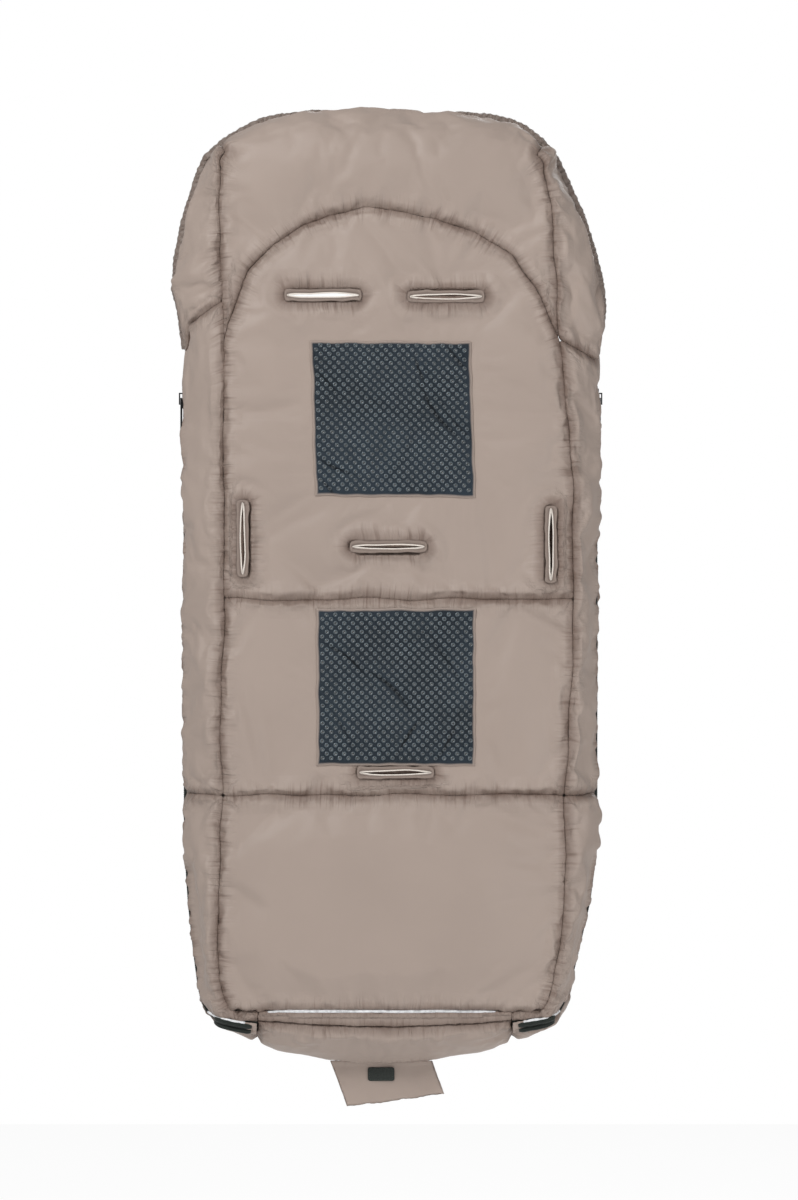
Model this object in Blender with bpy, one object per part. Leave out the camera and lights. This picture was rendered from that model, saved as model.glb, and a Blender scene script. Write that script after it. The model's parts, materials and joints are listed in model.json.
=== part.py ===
"""A padded stroller footmuff, upright, with its back towards -Y.

X runs to the right as the back is seen, Z runs up, and the front cover faces +Y. The
origin is the centre of the upper anti-slip patch, on the face that rests on the seat.
"""

import math

import bmesh
import bpy
from mathutils import Vector

MM = 0.001

# The whole body
BODY_HEIGHT = 915 * MM  # from the hem to the top edge
HALF_WIDTH = 212 * MM  # of the body at its straight sides
ORIGIN_SHARE = 0.656  # height of the origin over the hem
EDGE_Y = 52 * MM  # depth of the outermost edge, where the zips run
FRONT_Y = 100 * MM  # depth of the front cover's outer face
FRONT_INSET = 46 * MM  # from the edge in to the seam of the front panels

# Padding
PADDING = 14.2 * MM  # thickness of a padded panel
ROLL = 20 * MM  # width over which a panel rolls down into its seam
SEAM_SINK = 7 * MM  # how far a seam lies below the panels beside it
SEAM_GAP = 0.3 * MM  # from each panel to its seam
LINING = 4 * MM
LINING_GAP = 0.4 * MM
LINING_TRIM = 1.5 * MM  # the flat linings stop short of the seams

# Anti-slip patches
PATCH_WIDTH = 163 * MM
PATCH_HEIGHT = 158 * MM
PATCH_THICKNESS = 1.5 * MM
PATCH_CORNER = 5 * MM
PATCH_GAP = 0.3 * MM
UPPER_PATCH_SHIFT = 2 * MM
UPPER_PATCH_SKEW = 3.5 * MM
LOWER_PATCH_SHIFT = 5 * MM

BACK_Y = PATCH_THICKNESS + PATCH_GAP  # the padded back's plateau, under the patches

# Harness slots
SLIT_LENGTH = 72 * MM
SLIT_WIDTH = 6 * MM
BINDING_WALL = 1.2 * MM
BINDING_FLANGE = 3.2 * MM  # how far the flange reaches past the slit
BINDING_GAP = 0.4 * MM
BINDING_LIFT = 0.3 * MM
BINDING_PROUD = 1 * MM  # past the lining's face
CUT_OVERRUN = 6 * MM
LOW_SLOT_SHIFT = 4.5 * MM
LOW_SLOT_RISE = 22.5 * MM  # from the lower sewn line to the low slot's middle
# Each slot's name, its centre across and over the hem, and whether it stands upright
SLOT_SHARES = (
    ("left_shoulder", -0.321, 0.7915, False),
    ("right_shoulder", 0.259, 0.7900, False),
    ("left_hip", -0.700, 0.5255, True),
    ("right_hip", 0.755, 0.5190, True),
    ("waist", -0.012, 0.5165, False),
)

# Zips
ZIP_ROOM = 8 * MM  # from the zip's middle line to the edge of each panel
ZIP_PANEL_SINK = 1.5 * MM  # of a panel's face where it meets the zip
ZIP_PANEL_DEPTH = 5.5 * MM  # of a panel's inner face there
TEETH_GAP = 0.7 * MM  # from the middle line to each coil
COIL_WIDTH = 2.3 * MM
COIL_DEPTH = 2.9 * MM
COIL_HEIGHT = 2.6 * MM
TAPE_DEPTH = 5.8 * MM
TAPE_THICKNESS = 0.8 * MM
TAPE_WIDTH = 6.9 * MM
ZIP_TURN_START = 16.3  # stations between which the zip turns in under the foot
ZIP_TURN_END = 18.4
ZIP_END_ANGLE = 30.0
END_COVER_LENGTH = 15 * MM
END_COVER_DEPTH = 0.6 * MM
END_COVER_THICKNESS = 1.8 * MM
STOP_LENGTH = 2.5 * MM
STOP_GAP = 0.5 * MM

# Zip sliders and pulls
SLIDER_BELOW_TOP = 16 * MM  # from the zip's top to the slider's middle
SLIDER_LENGTH = 20 * MM
SLIDER_WIDTH = 10 * MM
SLIDER_PLATE = 1.3 * MM
SLIDER_CLEAR = 0.3 * MM
SLIDER_POST = 0.8 * MM
SLIDER_POST_LENGTH = 5 * MM
CROWN_WIDTH = 3 * MM
CROWN_LENGTH = 12 * MM
CROWN_BAR = 1.2 * MM
CROWN_ROOM = 2.5 * MM
PULL_WIDTH = 10.8 * MM
PULL_LENGTH = 34 * MM
PULL_EYE = 13 * MM  # from the pin to the pull's plate
PULL_THICKNESS = 1.4 * MM

# Hood rim
RIM_RADIUS = 7 * MM
RIM_PEEK = 6.5 * MM  # how far the rim shows past the head panel at the corners
RIM_GAP = 0.4 * MM
HOOD_EDGE_ANGLE = 76.0
HOOD_EDGE_DEPTH = 8 * MM
HOOD_EDGE_SINK = 2 * MM
ELASTIC_RADIUS = 2.2 * MM

# Hem, hinge band and foot
HEM_ROOM = 2 * MM  # from the hem's line to the panel over it and the band under it
PIPING_RADIUS = 1.2 * MM
HEM_PIPING_DROP = 0.4 * MM  # of its middle under the hem's line
HEM_PIPING_SHARES = (0.11, 0.86)  # where it starts and ends along the hem
BAND_DEPTH = 5 * MM
BAND_THICKNESS = 5 * MM
BAND_ANGLE = 17.5
FOLD_DROP = 13 * MM  # of the cover's fold line under the hem
FOLD_Y = 10 * MM
TAB_LEFT_DROP = 44 * MM  # of each lower corner under the foot
TAB_RIGHT_DROP = 30 * MM
TAB_SLANT = 16.5 * MM  # how far the lower corners lie to the right of the sewn edge's ends
TAB_THICKNESS = 1.4 * MM
TAB_GAP = 0.7 * MM
TAB_START = 20.75  # stations of the sewn edge's ends
TAB_STOP = 22.93
TAB_CORNER = 5 * MM
FASTENER_WIDTH = 27 * MM
FASTENER_HEIGHT = 14 * MM
FASTENER_THICKNESS = 1.2 * MM
FASTENER_DROP = 10 * MM  # of its middle under the tab's sewn edge
FASTENER_CORNER = 2.5 * MM

# Stations round the body's edge, from the top middle down one side to the bottom middle.
# Each row is the edge's place across and over the hem, then the back seam's.
LEFT_SHARES = (
    (0.000, 1.000, 0.000, 0.973),
    (0.302, 1.001, 0.292, 0.974),
    (0.571, 0.990, 0.547, 0.964),
    (0.679, 0.981, 0.637, 0.955),
    (0.863, 0.953, 0.783, 0.936),
    (0.929, 0.919, 0.807, 0.911),
    (0.995, 0.870, 0.807, 0.869),
    (1.057, 0.810, 0.802, 0.810),
    (1.033, 0.776, 0.797, 0.776),
    (1.009, 0.736, 0.792, 0.736),
    (1.005, 0.699, 0.792, 0.699),
    (1.005, 0.590, 0.792, 0.590),
    (1.005, 0.459, 0.788, 0.459),
    (1.005, 0.349, 0.807, 0.349),
    (1.005, 0.245, 0.802, 0.245),
    (0.995, 0.148, 0.811, 0.148),
    (0.948, 0.045, 0.811, 0.055),
    (0.915, 0.009, 0.797, 0.025),
    (0.849, -0.015, 0.755, 0.008),
    (0.708, -0.030, 0.684, 0.008),
    (0.462, -0.044, 0.462, 0.008),
    (0.236, -0.054, 0.236, 0.008),
    (0.000, -0.056, 0.000, 0.008),
)
RIGHT_SHARES = (
    (0.000, 1.000, 0.000, 0.973),
    (0.283, 0.998, 0.274, 0.972),
    (0.519, 0.990, 0.495, 0.964),
    (0.642, 0.979, 0.599, 0.954),
    (0.764, 0.953, 0.698, 0.936),
    (0.863, 0.906, 0.750, 0.901),
    (0.953, 0.855, 0.769, 0.855),
    (1.033, 0.796, 0.783, 0.796),
    (1.033, 0.769, 0.783, 0.769),
    (1.014, 0.745, 0.788, 0.745),
    (1.000, 0.699, 0.821, 0.699),
    (1.000, 0.590, 0.858, 0.590),
    (1.000, 0.459, 0.863, 0.459),
    (1.000, 0.349, 0.849, 0.349),
    (1.000, 0.245, 0.821, 0.245),
    (0.985, 0.149, 0.825, 0.149),
    (0.887, 0.045, 0.783, 0.052),
    (0.844, 0.011, 0.750, 0.022),
    (0.769, -0.014, 0.708, 0.008),
    (0.642, -0.027, 0.623, 0.008),
    (0.415, -0.044, 0.415, 0.008),
    (0.212, -0.052, 0.212, 0.008),
    (0.000, -0.056, 0.000, 0.008),
)
BOTTOM = len(LEFT_SHARES) - 1  # the station at the bottom middle
LOOP = 2 * BOTTOM  # stations in the whole loop
HEAD_CORNER = 3.6  # stations at which the seams meet the body
ARCH_FOOT = 9
COVER_TOP = 10
UPPER_LINE = 12
LOWER_LINE = 14
HEM_CORNER = 18
ZIP_END = 19.3

# The arched seam: shares across the back, and of its rise over its feet
ARCH_RISE = 136 * MM
ARCH_SHARES = (
    (0.000, 0.00),
    (0.018, 0.19),
    (0.040, 0.36),
    (0.075, 0.55),
    (0.150, 0.745),
    (0.235, 0.875),
    (0.320, 0.96),
    (0.420, 1.00),
    (0.525, 0.96),
    (0.630, 0.92),
    (0.750, 0.79),
    (0.870, 0.61),
    (0.930, 0.385),
    (0.965, 0.18),
    (1.000, 0.00),
)
STRIP_SHARES = (0.0, 0.07, 0.24, 0.5, 0.76, 0.93, 1.0)  # lines along a side panel
FOOT_SHARES = (0.0, 0.16, 0.48, 0.84, 1.0)  # lines over each half of the foot
ROLL_SHARES = (0.3, 1.0)  # lines across a panel's rolled edge
HEAD_STEPS = 7  # stations between the rolled edges of the hood's panels
LEG_STEPS = 6  # stations between the rolled edges of the leg's panels

COLOURS = {
    "shell": (0.392, 0.314, 0.270),
    "rim": (0.300, 0.235, 0.200),
    "patch": (0.026, 0.039, 0.054),
    "lining": (0.750, 0.680, 0.580),
    "binding": (0.500, 0.420, 0.350),
    "piping": (0.600, 0.610, 0.620),
    "tape": (0.020, 0.026, 0.022),
    "metal": (0.120, 0.120, 0.125),
    "elastic": (0.700, 0.690, 0.660),
    "black": (0.010, 0.010, 0.010),
}
ROUGH = {"metal": 0.35, "piping": 0.35, "shell": 0.6, "rim": 0.6}
ROUGH_CLOTH = 0.85


def clear_scene():
    for obj in list(bpy.data.objects):
        bpy.data.objects.remove(obj, do_unlink=True)


def material(name, kind):
    made = bpy.data.materials.new(f"{name}_{kind}")
    made.use_nodes = True
    shader = made.node_tree.nodes["Principled BSDF"]
    shader.inputs["Base Color"].default_value = (*COLOURS[kind], 1)
    shader.inputs["Roughness"].default_value = ROUGH.get(kind, ROUGH_CLOTH)
    shader.inputs["Metallic"].default_value = 1 if kind == "metal" else 0
    return made


def add_body(name, place):
    empty = bpy.data.objects.new(f"{name}_axis", None)
    empty.location = place
    bpy.context.scene.collection.objects.link(empty)
    return empty


def outwards(bm):
    """Turns every face of a closed mesh outwards."""
    bmesh.ops.recalc_face_normals(bm, faces=bm.faces)
    if bm.calc_volume(signed=True) < 0:
        bmesh.ops.reverse_faces(bm, faces=bm.faces)


def add_object(name, bm, kind, body):
    """The finished mesh as an object that hangs on its body's axis."""
    outwards(bm)
    mesh = bpy.data.meshes.new(name)
    bm.to_mesh(mesh)
    bm.free()
    mesh.shade_smooth()
    mesh.set_sharp_from_angle(angle=math.radians(40))
    mesh.materials.append(material(name, kind))
    obj = bpy.data.objects.new(name, mesh)
    bpy.context.scene.collection.objects.link(obj)
    obj.parent = body
    obj.location = -body.location
    return obj


def add_cutter(name, bm):
    outwards(bm)
    mesh = bpy.data.meshes.new(name)
    bm.to_mesh(mesh)
    bm.free()
    obj = bpy.data.objects.new(name, mesh)
    bpy.context.scene.collection.objects.link(obj)
    obj.hide_render = True
    obj.display_type = "WIRE"
    return obj


def cut(obj, cutter):
    modifier = obj.modifiers.new(cutter.name, "BOOLEAN")
    modifier.operation = "DIFFERENCE"
    modifier.object = cutter


def blend(a, b, share):
    return a + (b - a) * share


def ease(value):
    share = min(1.0, max(0.0, value))
    return share * share * (3 - 2 * share)


def across(share):
    return share * HALF_WIDTH


def over_hem(share):
    return (share - ORIGIN_SHARE) * BODY_HEIGHT


def station_rows():
    rows = [(-across(a), over_hem(b), -across(c), over_hem(d)) for a, b, c, d in LEFT_SHARES]
    right = [(across(a), over_hem(b), across(c), over_hem(d)) for a, b, c, d in RIGHT_SHARES]
    return rows + right[-2:0:-1]


STATIONS = station_rows()


def ring(w):
    """The edge's and the back seam's places at station w, on a smooth closed curve."""
    first = math.floor(w)
    t = w - first
    rows = [STATIONS[(first + k) % LOOP] for k in (-1, 0, 1, 2)]
    values = []
    for p0, p1, p2, p3 in zip(*rows):
        slope1, slope2 = (p2 - p0) / 2, (p3 - p1) / 2
        bend = 3 * (p2 - p1) - 2 * slope1 - slope2
        twist = 2 * (p1 - p2) + slope1 + slope2
        values.append(p1 + t * (slope1 + t * (bend + t * twist)))
    return Vector(values[:2]), Vector(values[2:])


def seam(w):
    return ring(w)[1]


def front_seam(w):
    edge, back = ring(w)
    return edge - (edge - back).normalized() * FRONT_INSET


def skin(w, angle, depth):
    """A point under the body's skin: angle 0 is the back seam, 90 the edge, 180 the front."""
    edge, back = ring(w)
    out = (edge - back).normalized()
    turn = math.radians(angle)
    if angle <= 90:
        reach, fall, start = (edge - back).length, EDGE_Y - BACK_Y, back
    else:
        reach, fall, start = FRONT_INSET, FRONT_Y - EDGE_Y, edge - out * FRONT_INSET
    flat = start + out * (reach - depth) * math.sin(turn)
    return Vector((flat.x, EDGE_Y - (fall - depth) * math.cos(turn), flat.y))


def degrees_of(w, angle, distance):
    """The angle that a distance over the skin spans at this place."""
    edge, back = ring(w)
    turn = math.radians(angle)
    reach, fall = (edge - back).length, EDGE_Y - BACK_Y
    if angle > 90:
        reach, fall = FRONT_INSET, FRONT_Y - EDGE_Y
    return math.degrees(distance / math.hypot(reach * math.cos(turn), fall * math.sin(turn)))


def walk(w, distance):
    """The station that lies a distance along the edge from w."""
    step = 0.01
    return w + step * distance / (ring(w + step)[0] - ring(w)[0]).length


def zip_angle(w):
    side = min(w % LOOP, LOOP - w % LOOP)
    share = ease((side - ZIP_TURN_START) / (ZIP_TURN_END - ZIP_TURN_START))
    return 90 + (ZIP_END_ANGLE - 90) * share


def by_zip(w, distance):
    """The angle at a distance from the zip's middle line, counted towards the front."""
    angle = zip_angle(w)
    return angle + degrees_of(w, angle, distance)


def hem_angle(w):
    """The back edge of a side panel: at its seam, and clear of the piping along the hem."""
    side = min(w % LOOP, LOOP - w % LOOP)
    room = blend(SEAM_GAP, HEM_ROOM, ease(side - (HEM_CORNER - 1)))
    return degrees_of(w, 0, room)


def roll(distance):
    share = min(1.0, max(0.0, distance / ROLL))
    return math.sqrt(1 - (1 - share) ** 2)


def run(start, end, count):
    """Stations from start to end, with extra ones where a panel rolls into its seams."""
    way = 1 if end > start else -1
    head = [start] + [walk(start, way * ROLL * s) for s in ROLL_SHARES]
    tail = [walk(end, -way * ROLL * s) for s in reversed(ROLL_SHARES)] + [end]
    middle = [blend(head[-1], tail[0], k / count) for k in range(1, count)]
    return head + middle + tail


def gapped(stations):
    """The stations with both ends drawn in by the seam's gap."""
    way = 1 if stations[-1] > stations[0] else -1
    first, last = stations[0], stations[-1]
    return [walk(first, way * SEAM_GAP)] + stations[1:-1] + [walk(last, -way * SEAM_GAP)]


def foot_marks():
    """The stations along the foot between the hem's corners, shared by all that meet there."""
    return [blend(HEM_CORNER, LOOP - HEM_CORNER, share) for share, _ in ARCH_SHARES]


def head_marks():
    """The stations over the head between the hood's corners, from left to right."""
    return [HEAD_CORNER * (1 - 2 * share) for share, _ in ARCH_SHARES]


def lower_run():
    """The stations of a lower side panel, round the corner as far as the zip's end."""
    tail = [walk(ZIP_END, -ROLL * s) for s in reversed(ROLL_SHARES)] + [ZIP_END]
    corner = run(LOWER_LINE, HEM_CORNER, LEG_STEPS)
    return corner + [w for w in foot_marks() if HEM_CORNER < w < tail[0]] + tail


def foot_run():
    """The stations of the foot end between the two zips' ends."""
    head = [ZIP_END] + [walk(ZIP_END, ROLL * s) for s in ROLL_SHARES]
    tail = [LOOP - w for w in reversed(head)]
    return head + [w for w in foot_marks() if head[-1] < w < tail[0]] + tail


def slab(outer, inner):
    """A closed body between two like grids of points."""
    bm = bmesh.new()
    top = [[bm.verts.new(p) for p in row] for row in outer]
    low = [[bm.verts.new(p) for p in row] for row in inner]
    rows, columns = len(top), len(top[0])
    for j in range(rows - 1):
        for i in range(columns - 1):
            corners = ((j, i), (j, i + 1), (j + 1, i + 1), (j + 1, i))
            bm.faces.new([top[a][b] for a, b in corners])
            bm.faces.new([low[a][b] for a, b in reversed(corners)])
    rim = [(0, i) for i in range(columns)]
    rim += [(j, columns - 1) for j in range(1, rows)]
    rim += [(rows - 1, i) for i in reversed(range(columns - 1))]
    rim += [(j, 0) for j in reversed(range(1, rows - 1))]
    for (a, b), (c, d) in zip(rim, rim[1:] + rim[:1]):
        bm.faces.new((top[a][b], low[a][b], low[c][d], top[c][d]))
    return bm


def prism(outline, low_y, high_y):
    """A flat plate: an outline of (x, z) points, from one depth to another."""
    bm = bmesh.new()
    low = [bm.verts.new((x, low_y, z)) for x, z in outline]
    high = [bm.verts.new((x, high_y, z)) for x, z in outline]
    bm.faces.new(low)
    bm.faces.new(high)
    for k in range(len(outline)):
        n = (k + 1) % len(outline)
        bm.faces.new((low[k], low[n], high[n], high[k]))
    return bm


def rounded(corners, radius, steps):
    """An outline with its corners rounded, as points on a quadratic curve at each."""
    points = []
    for k, corner in enumerate(corners):
        before = Vector(corners[k - 1]) - Vector(corner)
        after = Vector(corners[(k + 1) % len(corners)]) - Vector(corner)
        start = Vector(corner) + before.normalized() * radius
        end = Vector(corner) + after.normalized() * radius
        for s in range(steps + 1):
            t = s / steps
            points.append(start * (1 - t) ** 2 + Vector(corner) * 2 * t * (1 - t) + end * t * t)
    return points


def lengths(points):
    """How far each point lies along the line through them all."""
    total = [0.0]
    for a, b in zip(points, points[1:]):
        total.append(total[-1] + (b - a).length)
    return total


# What happens at a panel's edge: how far its face sinks there, and how thin it gets
SEAM_EDGE = (SEAM_SINK, 0)
ZIP_EDGE = (ZIP_PANEL_SINK, PADDING - ZIP_PANEL_DEPTH)
RIM_EDGE = (HOOD_EDGE_SINK, PADDING - HOOD_EDGE_DEPTH)


def side_panel(name, stations, low, high, edges_on, body, lines=STRIP_SHARES):
    """A padded panel that follows the skin from the angle low(w) to the angle high(w)."""
    low_edge, high_edge = edges_on
    angles = [[blend(low(w), high(w), s) for s in lines] for w in stations]
    base = [[skin(w, a, 0) for a in row] for w, row in zip(stations, angles)]
    over = [lengths(row) for row in base]
    along = [lengths(column) for column in zip(*base)]
    outer, inner = [], []
    for j, w in enumerate(stations):
        outer.append([])
        inner.append([])
        for i, angle in enumerate(angles[j]):
            edges = (
                (over[j][i], low_edge),
                (over[j][-1] - over[j][i], high_edge),
                (along[i][j], SEAM_EDGE),
                (along[i][-1] - along[i][j], SEAM_EDGE),
            )
            sink = max(edge[0] * (1 - roll(far)) for far, edge in edges)
            thin = max(edge[1] * (1 - roll(far)) for far, edge in edges)
            outer[-1].append(skin(w, angle, sink))
            inner[-1].append(skin(w, angle, PADDING - thin))
    return add_object(name, slab(outer, inner), "shell", body)


def ribbon(name, stations, low, high, outer_depth, inner_depth, kind, body, steps=1):
    """A thin strip of even thickness that follows the skin."""
    grids = []
    for depth in (outer_depth, inner_depth):
        rows = []
        for w in stations:
            marks = [blend(low(w), high(w), k / steps) for k in range(steps + 1)]
            rows.append([skin(w, angle, depth) for angle in marks])
        grids.append(rows)
    return add_object(name, slab(*grids), kind, body)


def patchwork(left, right, bottom, top):
    """A grid of flat points that fills four curves, each a list of points."""
    u = [share for share, _ in ARCH_SHARES]
    v = [d / lengths(left)[-1] for d in lengths(left)]
    grid = []
    for j, t in enumerate(v):
        row = []
        for i, s in enumerate(u):
            sides = blend(left[j], right[j], s) + blend(bottom[i], top[i], t)
            corners = blend(blend(left[0], right[0], s), blend(left[-1], right[-1], s), t)
            row.append(sides - corners)
        grid.append(row)
    return grid


def drawn_in(grid, gaps):
    """The grid with its left, right, bottom and top rows moved in by these gaps."""
    left, right, bottom, top = gaps
    moved = [[p.copy() for p in row] for row in grid]
    for j, row in enumerate(grid):
        moved[j][0] += (row[1] - row[0]).normalized() * left
        moved[j][-1] += (row[-2] - row[-1]).normalized() * right
    for i in range(len(grid[0])):
        moved[0][i] += (grid[1][i] - grid[0][i]).normalized() * bottom
        moved[-1][i] += (grid[-2][i] - grid[-1][i]).normalized() * top
    return moved


def distance_to(point, line):
    """The distance from a flat point to a line of flat points."""
    best = math.inf
    for a, b in zip(line, line[1:]):
        along = b - a
        share = min(1.0, max(0.0, (point - a).dot(along) / along.length_squared))
        best = min(best, (point - a - along * share).length)
    return best


def flat_panel(name, grid, face_y, inner_y, body, seams, extra=None):
    """A crowned panel over a flat grid, whose face sinks along the given seams.

    extra is a pair of grids of points, outer and inner, that carry the panel on past its
    top row.
    """
    inwards = 1 if inner_y > face_y else -1
    outer, inner = [], []
    for row in grid:
        rise = [roll(min(distance_to(p, line) for line in seams)) for p in row]
        sunk = [face_y + inwards * SEAM_SINK * (1 - r) for r in rise]
        outer.append([Vector((p.x, y, p.y)) for p, y in zip(row, sunk)])
        inner.append([Vector((p.x, inner_y, p.y)) for p in row])
    if extra:
        outer += extra[0]
        inner += extra[1]
    return add_object(name, slab(outer, inner), "shell", body)


def outline_of(grid):
    left = [row[0] for row in grid]
    right = [row[-1] for row in grid]
    return left, right, grid[0], grid[-1]


def line_across(w):
    """Points along the straight seam from station w on the left to its like on the right."""
    left, right = seam(w), seam(LOOP - w)
    return [blend(left, right, share) for share, _ in ARCH_SHARES]


def arch_line():
    points = []
    for foot, (share, rise) in zip(line_across(ARCH_FOOT), ARCH_SHARES):
        points.append(foot + Vector((0, ARCH_RISE * rise)))
    return points


def head_panel(body):
    """The head panel, which rolls over the top edge as far as the hood's rim."""
    stations = run(ARCH_FOOT, HEAD_CORNER, HEAD_STEPS)
    columns = head_marks()
    left = [seam(w) for w in stations]
    right = [seam(LOOP - w) for w in stations]
    top = [seam(w) for w in columns]
    grid = patchwork(left, right, arch_line(), top)
    seams = outline_of(grid)[:3]
    edge_shares = (0.3, 0.55, 0.8, 0.93, 1.0)
    turned = [[skin(w, HOOD_EDGE_ANGLE * s, 0) for w in columns] for s in edge_shares]
    outer, inner = [], []
    for share, row in zip(edge_shares, turned):
        sides = lengths(row)
        outer.append([])
        inner.append([])
        for i, w in enumerate(columns):
            to_rim = (turned[-1][i] - row[i]).length
            to_side = min(sides[i], sides[-1] - sides[i])
            sink = max(RIM_EDGE[0] * (1 - roll(to_rim)), SEAM_SINK * (1 - roll(to_side)))
            thin = RIM_EDGE[1] * (1 - roll(to_rim))
            if i in (0, len(columns) - 1):
                w = walk(w, SEAM_GAP if i else -SEAM_GAP)
            outer[-1].append(skin(w, HOOD_EDGE_ANGLE * share, sink))
            inner[-1].append(skin(w, HOOD_EDGE_ANGLE * share, PADDING - thin))
    moved = drawn_in(grid, (SEAM_GAP, SEAM_GAP, SEAM_GAP, 0))
    flat_panel("head_panel", moved, BACK_Y, BACK_Y + PADDING, body, seams, (outer, inner))


def back_panels(body):
    """The three padded panels of the back, from the arched seam down to the hem."""
    lines = {
        ARCH_FOOT: arch_line(),
        UPPER_LINE: line_across(UPPER_LINE),
        LOWER_LINE: line_across(LOWER_LINE),
        HEM_CORNER: line_across(HEM_CORNER),
    }
    panels = (
        ("back_panel", UPPER_LINE, ARCH_FOOT, 5),
        ("seat_panel", LOWER_LINE, UPPER_LINE, 3),
        ("leg_panel", HEM_CORNER, LOWER_LINE, LEG_STEPS),
    )
    made = {}
    for name, low, high, count in panels:
        stations = run(low, high, count)
        left = [seam(w) for w in stations]
        right = [seam(LOOP - w) for w in stations]
        grid = patchwork(left, right, lines[low], lines[high])
        hem = HEM_ROOM if low == HEM_CORNER else SEAM_GAP
        moved = drawn_in(grid, (SEAM_GAP, SEAM_GAP, hem, SEAM_GAP))
        made[name] = flat_panel(
            name, moved, BACK_Y, BACK_Y + PADDING, body, outline_of(grid)
        )
    return made


def body_sides(body):
    """The side panels of the body, between the back and the zips, and the hood's sides."""
    pieces = (
        ("hood_side", HEAD_CORNER, ARCH_FOOT, HEAD_STEPS),
        ("upper_side", ARCH_FOOT, LOWER_LINE, 9),
        ("lower_side", LOWER_LINE, ZIP_END, 0),
    )
    for side in ("left", "right"):
        for name, start, end, count in pieces:
            stations = gapped(run(start, end, count) if count else lower_run())
            high, edge = (lambda w: by_zip(w, -ZIP_ROOM)), ZIP_EDGE
            if name == "hood_side":
                high, edge = (lambda w: HOOD_EDGE_ANGLE), RIM_EDGE
            if side == "right":
                stations = [LOOP - w for w in stations]
            edges = (SEAM_EDGE, edge)
            side_panel(f"{side}_{name}", stations, hem_angle, high, edges, body)


def linings(root, cover):
    """The fleece inside the back, the sides, the hood and the front cover."""
    near, far = PADDING + LINING_GAP, PADDING + LINING_GAP + LINING
    outline = []
    for k in range(2 * LOOP):
        edge, back = ring(k / 2)
        outline.append(back - (edge - back).normalized() * LINING_TRIM)
    back = add_object(
        "back_lining", prism(outline, BACK_Y + near, BACK_Y + far), "lining", root
    )
    low, high = (lambda w: 9.0), (lambda w: 76.0)
    stations = [blend(ARCH_FOOT + 0.2, ZIP_TURN_START - 0.9, k / 9) for k in range(10)]
    for side in ("left", "right"):
        ws = stations if side == "left" else [LOOP - w for w in stations]
        start = near + LINING_GAP
        ribbon(f"{side}_side_lining", ws, low, high, start, far, "lining", root, 5)
    flank = gapped(run(HEAD_CORNER, ARCH_FOOT, HEAD_STEPS))[1:]
    hood = [-w for w in reversed(flank)] + list(reversed(head_marks())) + flank
    low, high = (lambda w: 0.3 * HOOD_EDGE_ANGLE), (lambda w: 0.8 * HOOD_EDGE_ANGLE)
    ribbon("hood_lining", hood, low, high, near + 2 * LINING_GAP, far, "lining", root, 4)
    outline = []
    for k in range(49):
        w = blend(COVER_TOP + 0.1, LOOP - COVER_TOP - 0.1, k / 48)
        edge = ring(w)[0]
        outline.append(front_seam(w) - (edge - front_seam(w)).normalized() * LINING_TRIM)
    add_object(
        "cover_lining", prism(outline, FRONT_Y - far, FRONT_Y - near), "lining", cover
    )
    return back


def patch_plate(name, shift, height, skew, body):
    """An anti-slip patch, whose outer face lies in the plane of the origin."""
    half_w, half_h = PATCH_WIDTH / 2, PATCH_HEIGHT / 2
    corners = [
        (shift - half_w + skew, height - half_h),
        (shift + half_w + skew, height - half_h),
        (shift + half_w - skew, height + half_h),
        (shift - half_w - skew, height + half_h),
    ]
    plate = prism(rounded(corners, PATCH_CORNER, 3), 0, PATCH_THICKNESS)
    add_object(name, plate, "patch", body)


def stadium(centre, half_length, half_width, upright, steps=5):
    """A slot's outline: two straight sides and two half-round ends."""
    points = []
    for end in (1, -1):
        for k in range(steps + 1):
            turn = math.pi * (k / steps - 0.5)
            x = end * (half_length - half_width + half_width * math.cos(turn))
            z = end * half_width * math.sin(turn)
            points.append(centre + Vector((-z, x) if upright else (x, z)))
    return points


def binding(name, centre, upright, body):
    """The bound edge of a slot: a wall through the padding and a flange on its face."""
    half_l, half_w = SLIT_LENGTH / 2, SLIT_WIDTH / 2
    inner_y = BACK_Y + PADDING + LINING_GAP + LINING + BINDING_PROUD
    flange_y = BACK_Y - BINDING_LIFT
    profile = (
        (0, flange_y - BINDING_WALL),
        (BINDING_FLANGE, flange_y - BINDING_WALL),
        (BINDING_FLANGE, flange_y),
        (BINDING_WALL, flange_y),
        (BINDING_WALL, inner_y),
        (0, inner_y),
    )
    bm = bmesh.new()
    loops = []
    for reach, y in profile:
        outline = stadium(centre, half_l + reach, half_w + reach, upright)
        loops.append([bm.verts.new((p.x, y, p.y)) for p in outline])
    for first, second in zip(loops, loops[1:] + loops[:1]):
        for k in range(len(first)):
            n = (k + 1) % len(first)
            bm.faces.new((first[k], first[n], second[n], second[k]))
    return add_object(name, bm, "binding", body)


def low_slot_height():
    """The low slot lies just over the lower sewn line, with the lower patch on top of it."""
    return over_hem(LEFT_SHARES[LOWER_LINE][3]) + LOW_SLOT_RISE


def slots(panels, lining, body):
    """Every harness slot: a cut through the panel and the lining, and its binding."""
    places = []
    for name, x, z, upright in SLOT_SHARES:
        places.append((name, Vector((across(x), over_hem(z))), upright, "back_panel"))
    places.append(("low", Vector((LOW_SLOT_SHIFT, low_slot_height())), False, "seat_panel"))
    reach = BINDING_WALL + BINDING_GAP
    for name, centre, upright, panel in places:
        outline = stadium(centre, SLIT_LENGTH / 2 + reach, SLIT_WIDTH / 2 + reach, upright)
        far = BACK_Y + PADDING + LINING_GAP + LINING + CUT_OVERRUN
        cutter = add_cutter(f"{name}_slot_cutter", prism(outline, -CUT_OVERRUN, far))
        cut(panels[panel], cutter)
        cut(lining, cutter)
        binding(f"{name}_slot_binding", centre, upright, body)


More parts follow.
